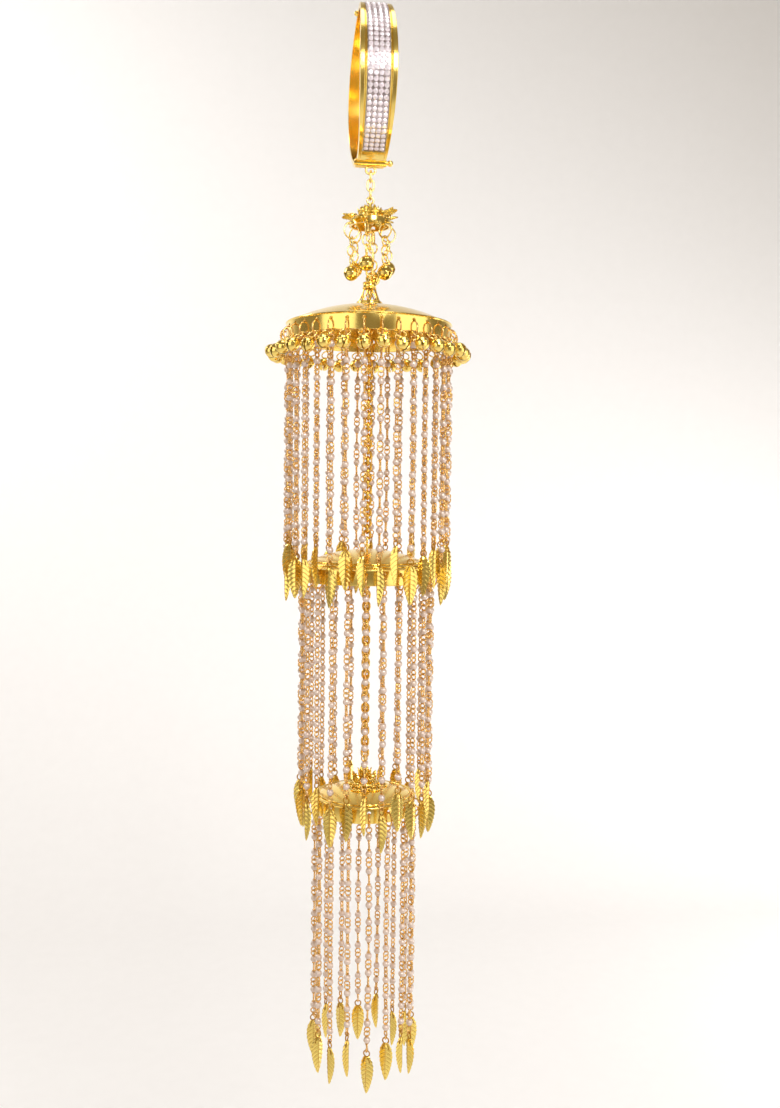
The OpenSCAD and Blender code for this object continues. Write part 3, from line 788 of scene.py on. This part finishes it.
def leaf_blade(length, width, teeth, thick, lift, rows, across, part=0, bite=0.14, fold=0.0):
    """Stamped blade along +X: toothed edge, midrib and slanted veins, solid

    Lift is the height of its relief, bite the depth of its teeth as a share of the width, and fold
    the slope of its halves from the midrib.
    """
    bm = bmesh.new()
    along_layer = bm.verts.layers.float.new("along")
    across_layer = bm.verts.layers.float.new("across")
    bmesh.ops.create_grid(bm, x_segments=rows, y_segments=across, size=0.5)
    for vert in bm.verts:
        t = vert.co.x + 0.5
        side = vert.co.y * 2
        vert[along_layer], vert[across_layer] = t, side
        slant = t - abs(side) * VEIN_SLANT
        phase = (slant * teeth) % 1.0
        edge = 1 - bite * phase * abs(side) ** 3
        ridge = (0.5 - 0.5 * math.cos(FULL * slant * teeth)) ** 1.5
        rib_width = 0.13
        rib = math.exp(-(side / rib_width) ** 2)
        cup = (1 - side * side) * 0.5
        fade = min(1.0, leaf_half(t) * 1.6)
        height = lift * fade * (0.8 * ridge * (1 - rib) + 1.1 * rib + cup)
        height += fold * abs(side) * leaf_half(t) * width / 2
        vert.co = (t * length, side * width / 2 * leaf_half(t) * edge, height)
    bmesh.ops.remove_doubles(bm, verts=bm.verts, dist=0.01)
    bmesh.ops.recalc_face_normals(bm, faces=bm.faces)
    bmesh.ops.solidify(bm, geom=bm.faces, thickness=thick)
    return mesh_from(bm, True, part, 60)


BELL_COUNT = 6


def bell_turn(k):
    """Place of a bell under the petals, round the axis"""
    return turned(15 + 60 * k, "Z")


class ORNAMENT_OT_petals(bpy.types.Operator):
    """Builds the petal cap with its toothed calyx and bent petals"""
    bl_idname = "ornament.petals"
    bl_label = "Petal cap"

    # Each petal's tilt up from level and its roll about its own length
    bends = ((-5, -12), (0, 0), (2, 20), (-28, 12), (-50, 0), (22, -20))
    # Rings of sepals: turn in steps of the ring, count, radius of their roots, length, width, lean
    sepals = ((0, 8, 2.6, 4.6, 2.4, 98), (0.5, 9, 3.4, 4.1, 2.8, 92), (0, 10, 4.3, 3.1, 2.9, 72))
    bite = 0.3

    def execute(self, context):
        s = sizes()
        piece = Piece("petal_flower", ["gold", "wire", "leaf"])
        calyx_height, drop, collar, thick, hole_up = 4.4, 2.2, 2.6, 0.7, 1.3
        hub_z = top_of("petal_cap") - calyx_height
        low = -drop - collar
        shell = [(0.6, 0), (4.4, -0.05), (6.6, -1.1), (s.hub, -drop), (s.hub + 0.05, -drop - 0.3),
                 (s.hub, low + 0.3), (s.hub + 0.15, low), (s.hub - thick, low),
                 (s.hub - thick, -drop - 0.4), (4.4, -thick), (0.6, -thick)]
        holes = []
        for k in range(BELL_COUNT):
            hole = rod_mesh(s.hole, 4, 16)
            hole.transform(bell_turn(k) @ at(s.hub, 0, low + hole_up) @ FACING_X)
            holes.append(hole)
        piece.add(cut(spun(shell, 72, closed=True), holes), at(z=hub_z))
        for k, (tilt, roll) in enumerate(self.bends):
            place = turned(45 + 60 * k, "Z") @ at(s.hub - thick - 3.2, 0, hub_z - drop + 1.0)
            place = place @ turned(-tilt, "Y") @ turned(roll, "X")
            self.petal(piece, place)
        self.calyx(piece, hub_z)
        for k in range(24):
            piece.add(ball_mesh(0.42, 10, 6, part=1),
                      turned(15 * k, "Z") @ at(s.hub - 1.2, 0, hub_z - drop + 0.75))
        piece.done(DROP, "polished_gold", "petal_cap")
        return {"FINISHED"}

    def petal(self, piece, place):
        """Stamped petal with a narrow side leaf under each half"""
        s = sizes()
        piece.add(leaf_blade(s.petal_length + 3.4, s.petal_width * 0.86, teeth=8, thick=0.4, lift=0.45,
                             rows=48, across=10, part=2, bite=self.bite, fold=0.15), place)
        for side in (-1, 1):
            piece.add(leaf_blade(s.petal_length + 1.4, 2.4, teeth=6, thick=0.35, lift=0.3, rows=24,
                                 across=6, part=2, bite=self.bite),
                      place @ at(1.6, side * 1.7, -0.3) @ turned(side * 22, "Z"))

    def calyx(self, piece, hub_z):
        """Rings of pointed sepals that close round the eye"""
        for shift, count, foot, length, width, lean in self.sepals:
            for k in range(count):
                sepal = leaf_blade(length, width, teeth=4, thick=0.3, lift=0.3, rows=16, across=6,
                                   part=2, bite=self.bite)
                place = turned((k + shift) * 360 / count, "Z") @ at(foot, 0, hub_z - 0.35)
                piece.add(sepal, place @ turned(-lean, "Y"))


def bell_mesh(radius, wall=0.45, slit=0.55):
    """Hollow bell with a seam, a slit and a round hole at each end of it; its top is the origin"""
    seam, equator = 0.12, 11
    turns = [math.radians(a) for a in range(8, 176, 8)]
    line = [(NEAR_AXIS, radius)] + [(radius * math.sin(a), radius * math.cos(a)) for a in turns] \
        + [(NEAR_AXIS, -radius)]
    outer = line[:equator] + [(radius + seam, seam), (radius + seam, -seam)] + line[equator + 1:]
    inner = [(r * (radius - wall) / radius, z * (radius - wall) / radius)
             for r, z in line[:equator] + line[equator + 1:]]
    bm = bmesh.new()
    for shell in (outer, inner):
        mesh = spun(shell, 32)
        bm.from_mesh(mesh)
        bpy.data.meshes.remove(mesh)
    bmesh.ops.remove_doubles(bm, verts=bm.verts, dist=0.02)
    inside = [f for f in bm.faces if f.calc_center_median().length < radius - wall / 2]
    bmesh.ops.recalc_face_normals(bm, faces=bm.faces)
    bmesh.ops.reverse_faces(bm, faces=inside)
    body = bpy.data.meshes.new("bell")
    bm.to_mesh(body)
    bm.free()
    box = bmesh.new()
    bmesh.ops.create_cube(box, size=1, matrix=at(0, 0, -radius * 0.575 - 0.5)
                          @ stretched(slit, 2 * radius + 2, radius * 0.85 + 1))
    slot = mesh_from(box, False)
    hole = rod_mesh(slit, radius * 4, 20)
    hole.transform(at(0, 0, -radius * 0.15) @ FACING_Y)
    made = cut(body, [slot, hole])
    made.transform(at(z=-radius))
    return made


class ORNAMENT_OT_bells(bpy.types.Operator):
    """Hangs the bells under the petals and round the top dome"""
    bl_idname = "ornament.bells"
    bl_label = "Bells"

    def execute(self, context):
        s = sizes()
        reach = s.hub - 0.35
        self.rings(reach)
        for k in range(BELL_COUNT):
            node = "top_bell_%d" % (k + 1)
            low, high = foot_of(node), top_of(node)
            piece = Piece("bell_%d" % (k + 1), ["gold", "wire"])
            spot = bell_turn(k) @ at(reach, 0, 0)
            drop, count, wire, width = high - low - 2 * s.top_bell + 0.1, 2 + k % 2, 0.3, 4.0
            each = (drop + (count - 1) * 4 * wire) / count
            for j in range(count):
                middle = high - each / 2 - j * (each - 4 * wire)
                piece.add(link_mesh(each, width, wire + 0.05, 10, 8, part=1),
                          spot @ at(z=middle) @ turned(90 + 90 * j, "Z"))
            piece.add(bell_mesh(s.top_bell), spot @ at(z=low + 2 * s.top_bell) @ turned(40 + 80 * k, "Z"))
            piece.add(rod_mesh(0.75, 0.5, 20, 0.15), spot @ at(z=low + 2 * s.top_bell + 0.02))
            piece.done(DROP, "polished_gold", node)
        self.rim()
        return {"FINISHED"}

    def rings(self, reach):
        """Thin ring through each hole of the petal cap's collar"""
        piece, radius = Piece("bell_ring_wires", ["wire"]), 3.2
        for k in range(BELL_COUNT):
            piece.add(ring_mesh(radius, sizes().thin_wire, 36, 8),
                      bell_turn(k) @ at(reach, 0, middle_of("bell_rings")) @ FACING_Y)
        piece.done(DROP, "gold_wire", "bell_rings")

    def rim(self):
        """Bell on a ring from each string's ring on the top dome, leaning out"""
        s = sizes()
        tier = 1
        hang, ring_z = hang_radius(tier), ring_height(tier)
        loop, loop_wire, gap = 2.1, 0.3, 0.1
        inner = s.thin_wire + loop_wire + gap
        bell = bell_mesh(s.rim_bell)
        cap = rod_mesh(0.7, 0.5, 16, 0.15)
        wire = ring_mesh(loop, loop_wire, 20, 6, part=1)
        piece = Piece("rim_bell_row", ["gold", "wire"])
        for k in range(TIERS[tier]["count"]):
            hook, lean = 50 + 4 * wobble(k, 6), 25 + 5 * wobble(k, 5)
            turn = math.radians(hook)
            spot = string_turn(k, tier) @ at(
                hang + s.string_ring * math.sin(turn), 0, ring_z - s.string_ring * math.cos(turn))
            spot = spot @ turned(-hook, "Y")
            piece.add(wire, spot @ at(z=inner - loop) @ FACING_X, keep=True)
            bottom = spot @ at(z=inner - 2 * loop) @ turned(hook - lean, "Y")
            facing = turned(90 + 35 * wobble(k, 4), "Z")
            piece.add(bell, bottom @ at(z=-0.1) @ facing, keep=True)
            piece.add(cap, bottom @ at(z=-0.15), keep=True)
        piece.done(DROP, "polished_gold", "rim_bells")


# Each tier: its dome, strings and pearls on each, first string's turn in degrees, height of the dome's
# cap, how far its raised rings lie in from the edge, and how much the strings' lengths vary
TIERS = {
    1: {"dome": "dome_1", "count": 32, "pearls": 12, "turn": 2.8, "cap": 8.1, "beads": (), "vary": 4.5},
    2: {"dome": "dome_2", "count": 24, "pearls": 12, "turn": 9.2, "cap": 6.8, "beads": (2, 4), "vary": 4.5},
    3: {"dome": "dome_3", "count": 16, "pearls": 13, "turn": 0.0, "cap": 4.1, "beads": (2,), "vary": 3.5},
}
LEDGE = 0.5
STRING_EYE, STRING_EYE_WIRE = 0.8, 0.3


def wobble(k, tier):
    """Small variation from -1 to 1, the same each time"""
    return math.sin(math.radians(137.5 * k + 71 * tier))


def dome_radius(tier):
    return width_of(TIERS[tier]["dome"]) / 2


def rim_height(tier):
    return foot_of(TIERS[tier]["dome"])


def apex_height(tier):
    return rim_height(tier) + sizes().band_height + TIERS[tier]["cap"]


def cap_ball(tier):
    """Radius of the ball that a dome's cap is a slice of"""
    cap = TIERS[tier]["cap"]
    return ((dome_radius(tier) - LEDGE) ** 2 + cap * cap) / (2 * cap)


def below_apex(ball, radius):
    """Height of a ball's skin at a distance from the axis, from its own top"""
    return math.sqrt(ball * ball - radius * radius) - ball


def hang_radius(tier):
    return dome_radius(tier) - sizes().sheet / 2


def ring_height(tier):
    """Middle of the wire rings that rest in the band's holes"""
    s = sizes()
    return rim_height(tier) + s.hole_up - s.hole + s.thin_wire + 0.05 - s.string_ring


def string_turn(k, tier):
    """Place of a string, round the axis"""
    return turned(360 / TIERS[tier]["count"] * k + TIERS[tier]["turn"], "Z")


def string_length(k, tier):
    facts = TIERS[tier]
    return facts["pearls"] * sizes().pearl_pitch + facts["vary"] * wobble(k, tier)


def leaf_turn(k, tier):
    """Leaves face the front or the rear, each turned up to 65 degrees from it"""
    facts = TIERS[tier]
    return 65 * wobble(k, tier + 2) - 360 / facts["count"] * k - facts["turn"]


class ORNAMENT_OT_domes(bpy.types.Operator):
    """Turns the three domes, drills their bands and adds cone and flower"""
    bl_idname = "ornament.domes"
    bl_label = "Domes"

    def profile(self, tier):
        """Outer line from the tip to the rim, then back up the inside"""
        s = sizes()
        radius, cap, ball = dome_radius(tier), TIERS[tier]["cap"], cap_ball(tier)
        bore, steps, inner_steps = 0.6, 40, 24
        outer = []
        for k in range(steps + 1):
            r = bore + (radius - LEDGE - bore) * k / steps
            outer.append((r, below_apex(ball, r)))
        low, bead, inside = -cap - s.band_height, 0.45, radius - s.sheet
        band = []
        for k in range(1, 9):
            turn = math.radians(180 - 22.5 * k)
            band.append((radius - 0.1 + bead * math.cos(turn), -cap - 0.2 + bead * math.sin(turn)))
        band += [(radius, -cap - 0.6), (radius, low + 0.3), (radius - 0.1, low + 0.06),
                 (radius - s.sheet / 2, low), (inside + 0.1, low + 0.06), (inside, low + 0.3),
                 (inside, -cap - 1.0)]
        inner = []
        shell, reach = ball - s.sheet, inside - 0.8
        for k in range(inner_steps + 1):
            r = reach + (bore - reach) * k / inner_steps
            inner.append((r, below_apex(shell, r) - s.sheet))
        return outer + band + inner

    def execute(self, context):
        s = sizes()
        for tier, facts in TIERS.items():
            shell = spun(self.profile(tier), 180, closed=True)
            radius, apex = dome_radius(tier), apex_height(tier)
            holes = []
            for k in range(facts["count"]):
                hole = rod_mesh(s.hole, 4, 16)
                hole.transform(string_turn(k, tier)
                               @ at(radius, 0, -facts["cap"] - s.band_height + s.hole_up) @ FACING_X)
                holes.append(hole)
            piece = Piece("dome_shell_%d" % tier, ["gold"])
            piece.add(cut(shell, holes), at(z=apex))
            for inset in facts["beads"]:
                ring = radius - inset
                piece.add(ring_mesh(ring, 0.45, 160, 10), at(z=apex + below_apex(cap_ball(tier), ring)))
            piece.done(DROP, "polished_gold", facts["dome"])
        self.cone()
        self.flower()
        return {"FINISHED"}

    def cone(self):
        """Waisted filigree cone: rings top and bottom, a neck and arched wires between"""
        foot, height = foot_of("filigree_cap"), top_of("filigree_cap") - foot_of("filigree_cap")
        wide, neck, neck_foot, spokes, bends = width_of("filigree_cap") / 2, 2.7, 0.74, 8, 8
        piece = Piece("filigree_cone", ["gold"])
        base = [(wide - 0.7, 0), (wide, 0), (wide, 1.0), (wide - 0.3, 1.3), (wide - 0.8, 1.3)]
        collar = [(0.6, height), (neck - 0.5, height), (neck, height - 0.4), (neck, height * 0.72),
                  (neck - 0.6, height * 0.72), (neck - 0.6, height - 0.7), (0.6, height - 0.7)]
        piece.add(spun(base, 48, closed=True), at(z=foot))
        piece.add(spun(collar, 40, closed=True), at(z=foot))
        for z, reach in ((height - 0.2, neck), (height * neck_foot, neck + 0.1), (1.25, wide - 0.2),
                         (0.25, wide)):
            piece.add(ring_mesh(reach - 0.1, 0.28, 40, 6), at(z=foot + z))
        for k in range(spokes):
            for side in (-1, 1):
                points = []
                for j in range(bends + 1):
                    t = j / bends
                    reach = (wide - 0.4) + (neck - 0.3 - wide + 0.4) * t ** 0.6
                    swing = side * (180 / spokes) * (1 - math.cos(math.pi * t)) / 2
                    turn = math.radians(360 / spokes * k + swing)
                    points.append((reach * math.cos(turn), reach * math.sin(turn),
                                   1.0 + (height * neck_foot - 1.0) * t))
                piece.add(wire_mesh(points, 0.3, sides=6), at(z=foot))
        for k in range(16):
            piece.add(ball_mesh(0.38, 10, 6), at(z=foot + 0.3) @ turned(22.5 * k, "Z") @ at(wide - 0.25))
        piece.done(DROP, "polished_gold", "filigree_cap")

    def flower(self):
        """Six wire petals on the lowest dome round a closed bud of upright ones"""
        tier, petals, bends, reach = 3, 6, 20, 9.6
        tip, ball = apex_height(tier), cap_ball(tier)
        middle, half_length, half_width = reach * 0.66, reach * 0.33, 2.9
        piece = Piece("flower_filigree", ["gold"])

        def on_dome(turn, x, y, lift):
            """Point above the dome's skin, for a petal turned to its place"""
            spot = turn @ Vector((x, y, 0))
            return Vector((spot.x, spot.y, tip + below_apex(ball, math.hypot(spot.x, spot.y)) + lift))

        for k in range(petals):
            turn = turned(60 * k, "Z").to_3x3()
            for share, wire in ((1.0, 0.34), (0.55, 0.26)):
                points = []
                for j in range(bends):
                    around = FULL * j / bends
                    points.append(on_dome(turn, middle + share * half_length * math.cos(around),
                                          share * half_width * math.sin(around), wire + 0.06))
                piece.add(wire_mesh(points, wire, closed=True, sides=6))
            piece.add(ball_mesh(0.7, 12, 8), Matrix.Translation(on_dome(turn, middle, 0, 0.6)))
            for j in range(9):
                around = math.radians(-80 + 20 * j)
                spot = on_dome(turn, middle + half_length * math.cos(around) + 0.1,
                               (half_width + 0.15) * math.sin(around), 0.38)
                piece.add(ball_mesh(0.34, 8, 6), Matrix.Translation(spot))
            bud = turned(60 * k + 30, "Z") @ at(3.6, 0, tip + 0.1) @ turned(-68 - 14 * (k % 2), "Y")
            piece.add(leaf_blade(5.6, 4.2, teeth=5, thick=0.35, lift=0.4, rows=18, across=8), bud)
            bud = turned(60 * k, "Z") @ at(2.1, 0, tip + 1.2) @ turned(-84, "Y")
            piece.add(leaf_blade(6.2, 2.8, teeth=5, thick=0.35, lift=0.35, rows=18, across=8), bud)
        core = [(0.6, 0.15), (4.6, 0.0), (4.8, 0.35), (3.0, 1.3), (1.4, 4.4), (0.6, 6.4)]
        piece.add(spun(core, 36, closed=True), at(z=tip))
        piece.done(DROP, "polished_gold", "flower_cap")


class ORNAMENT_OT_strings(bpy.types.Operator):
    """Hangs the pearl strings: each pearl on a wire with an eye at both ends"""
    bl_idname = "ornament.strings"
    bl_label = "Pearl strings"

    def unit(self):
        """One pearl round the origin, with a coil and an eye at both ends, the lower eye a quarter turned"""
        s = sizes()
        wire, eye, coil, coil_wire = 0.3, 1.12, 0.6, 0.25
        away = s.pearl_pitch / 2 + wire - eye
        bm = bmesh.new()
        parts = [(ball_mesh(s.pearl, 12, 8), Matrix())]
        for end, turn in ((1, 0), (-1, 90)):
            parts.append((ring_mesh(eye, wire, 10, 5, part=1),
                          at(z=end * away) @ turned(turn, "Z") @ FACING_X))
            parts.append((ring_mesh(coil, coil_wire, 6, 4, part=1),
                          at(z=end * (s.pearl + 0.1)) @ turned(14, "X")))
        for mesh, place in parts:
            mesh.transform(place)
            bm.from_mesh(mesh)
            bpy.data.meshes.remove(mesh)
        made = bpy.data.meshes.new("unit")
        bm.to_mesh(made)
        bm.free()
        return made

    def execute(self, context):
        s = sizes()
        unit = self.unit()
        ring = ring_mesh(s.string_ring, s.thin_wire, 20, 6, part=1)
        eye = ring_mesh(STRING_EYE, STRING_EYE_WIRE, 12, 5, part=1)
        for tier, facts in TIERS.items():
            piece = Piece("pearl_strings_%d" % tier, ["pearl", "links"])
            top, bow = ring_height(tier) - s.string_ring, 0.4
            for k in range(facts["count"]):
                turn = string_turn(k, tier) @ at(x=hang_radius(tier))
                piece.add(ring, turn @ at(z=top + s.string_ring) @ FACING_Y, keep=True)
                length = string_length(k, tier)
                stretch = length / facts["pearls"] / s.pearl_pitch
                for j in range(facts["pearls"]):
                    share = (j + 0.5) / facts["pearls"]
                    aside = bow * wobble(k + 3, tier) * math.sin(math.pi * share)
                    spot = turn @ at(0, aside, top - length * share) @ turned(90 * (j % 2), "Z")
                    piece.add(unit, spot @ stretched(1, 1, stretch), keep=True)
                end = turn @ at(z=top - length - STRING_EYE) @ turned(leaf_turn(k, tier), "Z")
                piece.add(eye, end @ FACING_X, keep=True)
            piece.done(DROP, "pearl", "strings_%d" % tier)
        return {"FINISHED"}


class ORNAMENT_OT_leaves(bpy.types.Operator):
    """Hangs a stamped leaf from every string"""
    bl_idname = "ornament.leaves"
    bl_label = "Leaves"

    def execute(self, context):
        s = sizes()
        ring_radius, ring_wire, gap, sunk = 1.3, 0.28, 0.1, 0.25
        hang = 2 * STRING_EYE - STRING_EYE_WIRE - gap - ring_wire + ring_radius
        blade = leaf_blade(s.leaf_length, s.leaf_width, teeth=LEAF_TEETH, thick=0.26, lift=0.36,
                           rows=36, across=8, fold=-0.32)
        blade.transform(FACING_X @ FACING_Y)
        ring = ring_mesh(ring_radius, ring_wire, 16, 6)
        bail = wire_mesh([(-1.5, -0.3, -2.6), (-0.7, -0.3, -0.7), (0, -0.3, 0.1), (0.7, -0.3, -0.7),
                          (1.5, -0.3, -2.6)], 0.2, sides=5)
        for tier, facts in TIERS.items():
            piece = Piece("leaf_row_%d" % tier, ["leaf"])
            top = ring_height(tier) - s.string_ring
            for k in range(facts["count"]):
                low = top - string_length(k, tier) - hang
                spot = string_turn(k, tier) @ at(hang_radius(tier), 0, low) @ turned(leaf_turn(k, tier), "Z")
                piece.add(ring, spot @ FACING_Y, keep=True)
                for part in (blade, bail):
                    piece.add(part, spot @ at(z=sunk - ring_radius), keep=True)
            piece.done(DROP, "leaf_gold", "leaves_%d" % tier)
        return {"FINISHED"}


class ORNAMENT_OT_chain(bpy.types.Operator):
    """Links the gold chain on the axis between the domes"""
    bl_idname = "ornament.chain"
    bl_label = "Centre chain"

    def execute(self, context):
        wire, width, wanted_step = 0.6, 3.8, 2.45
        for number in (1, 2):
            node = "centre_chain_%d" % number
            high, low = top_of(node), foot_of(node)
            run = high - low - 4 * wire
            count = 2 * int(round(run / wanted_step / 2)) + 1
            step = run / count
            piece = Piece("axis_chain_%d" % number, ["chain"])
            link = link_mesh(step + 4 * wire, width, wire, 7, 7)
            for k in range(count):
                middle = high - 2 * wire - step * (k + 0.5)
                piece.add(link, at(z=middle) @ turned(90 * (k % 2), "Z"), keep=True)
            piece.done(DROP, "gold_wire", node)
        return {"FINISHED"}


class ORNAMENT_OT_stage(bpy.types.Operator):
    """Sets the pale wall and floor, the soft lights and the camera"""
    bl_idname = "ornament.stage"
    bl_label = "Stage"

    def execute(self, context):
        self.camera()
        self.room()
        self.lights()
        return {"FINISHED"}

    def camera(self):
        """Stands where the photograph was taken, a little turned about its own line of sight"""
        scene = bpy.context.scene
        away, level = 0.4425, -0.1944
        side, pan, pitch, roll = (math.radians(a) for a in (5.4, 1.27, 3.77, 0.66))
        focal, picture_height, shift = 1053.0, 1108, 10
        place = Vector((-away * math.sin(side), -away * math.cos(side), level))
        heading = side + pan
        forward = Vector((math.sin(heading) * math.cos(pitch), math.cos(heading) * math.cos(pitch),
                          -math.sin(pitch)))
        right = forward.cross(Vector((0, 0, 1))).normalized()
        up = right.cross(forward)
        turn = Matrix((right, up, -forward)).transposed().to_4x4()
        lens = bpy.data.cameras.new("camera")
        lens.sensor_fit = "VERTICAL"
        lens.sensor_height = 36.0
        lens.lens = focal * lens.sensor_height / picture_height
        lens.shift_y = shift / picture_height
        lens.clip_start = 0.01
        camera = bpy.data.objects.new("camera", lens)
        scene.collection.objects.link(camera)
        camera.matrix_world = Matrix.Translation(place) @ turn @ Matrix.Rotation(roll, 4, "Z")
        scene.camera = camera

    def room(self):
        """One sheet of pale board: floor, round corner and wall"""
        floor_z, wall_y, corner, half, reach, bends = -0.8, 1.3, 0.3, 3.0, 2.5, 12
        bm = bmesh.new()
        points = [(-reach, floor_z), (wall_y - corner, floor_z)]
        for k in range(1, bends + 1):
            turn = math.radians(90 * k / bends)
            points.append((wall_y - corner + corner * math.sin(turn),
                           floor_z + corner * (1 - math.cos(turn))))
        points.append((wall_y, reach))
        verts = [bm.verts.new((-half, y, z)) for y, z in points]
        edges = [bm.edges.new(pair) for pair in zip(verts, verts[1:])]
        swept = bmesh.ops.extrude_edge_only(bm, edges=edges)["geom"]
        far = [v for v in swept if isinstance(v, bmesh.types.BMVert)]
        bmesh.ops.translate(bm, vec=(2 * half, 0, 0), verts=far)
        for face in bm.faces:
            face.smooth = True
        bmesh.ops.recalc_face_normals(bm, faces=bm.faces)
        mesh = bpy.data.meshes.new("backdrop")
        bm.to_mesh(mesh)
        bm.free()
        mesh.materials.append(finish("wall"))
        board = bpy.data.objects.new("backdrop", mesh)
        bpy.context.collection.objects.link(board)

    def lights(self):
        """A dim warm room with soft boxes in front, at both sides, above and towards the wall"""
        scene = bpy.context.scene
        scene.view_settings.view_transform = "Standard"
        scene.world = scene.world or bpy.data.worlds.new("room")
        scene.world.use_nodes = True
        back = scene.world.node_tree.nodes["Background"]
        back.inputs["Color"].default_value = (1.0, 0.84, 0.62, 1)
        back.inputs["Strength"].default_value = 0.26
        centre = Vector((0, 0, -0.22))
        # Each lamp: where it stands and aims, its size and its power in watts
        for name, place, aim, size, power in (
                ("key", (0.25, -0.85, 0.25), centre, 0.3, 6.2),
                ("left", (-0.75, -0.7, -0.1), centre, 0.9, 3.2),
                ("right", (0.8, -0.55, -0.25), centre, 0.9, 3.2),
                ("top", (0.05, 0.0, 0.75), centre, 0.5, 2.6),
                ("wall_left", (-1.0, 0.4, 0.5), Vector((-0.2, 1.3, 0.0)), 0.6, 9.5),
                ("wall_right", (1.0, 0.5, -0.5), Vector((0, 1.3, -0.5)), 0.6, 5.0)):
            data = bpy.data.lights.new(name, "AREA")
            data.energy = power
            data.size = size
            lamp = bpy.data.objects.new(name, data)
            scene.collection.objects.link(lamp)
            look = (aim - Vector(place)).to_track_quat("-Z", "Y").to_matrix().to_4x4()
            lamp.matrix_world = Matrix.Translation(place) @ look


STEPS = ("bangle", "stones", "links", "petals", "bells", "domes", "strings", "leaves", "chain", "stage")


class ORNAMENT_PT_panel(bpy.types.Panel):
    """Lists the sizes, colours and pieces"""
    bl_label = "Ornament"
    bl_idname = "ORNAMENT_PT_panel"
    bl_space_type = "VIEW_3D"
    bl_region_type = "UI"
    bl_category = "Ornament"

    def draw(self, context):
        layout = self.layout
        for group in (context.scene.ornament_sizes, context.scene.ornament_colours):
            for name in group.bl_rna.properties.keys():
                if name not in ("rna_type", "name"):
                    layout.prop(group, name)
        for step in STEPS:
            layout.operator("ornament." + step)


CLASSES = (OrnamentSizes, OrnamentColours, ORNAMENT_OT_bangle, ORNAMENT_OT_stones, ORNAMENT_OT_links,
           ORNAMENT_OT_petals, ORNAMENT_OT_bells, ORNAMENT_OT_domes, ORNAMENT_OT_strings,
           ORNAMENT_OT_leaves, ORNAMENT_OT_chain, ORNAMENT_OT_stage, ORNAMENT_PT_panel)


def register():
    for item in CLASSES:
        bpy.utils.register_class(item)
    bpy.types.Scene.ornament_sizes = PointerProperty(type=OrnamentSizes)
    bpy.types.Scene.ornament_colours = PointerProperty(type=OrnamentColours)


def unregister():
    del bpy.types.Scene.ornament_colours
    del bpy.types.Scene.ornament_sizes
    for item in reversed(CLASSES):
        bpy.utils.unregister_class(item)


def main():
    register()
    for step in STEPS:
        getattr(bpy.ops.ornament, step)()


if __name__ == "__main__":
    main()
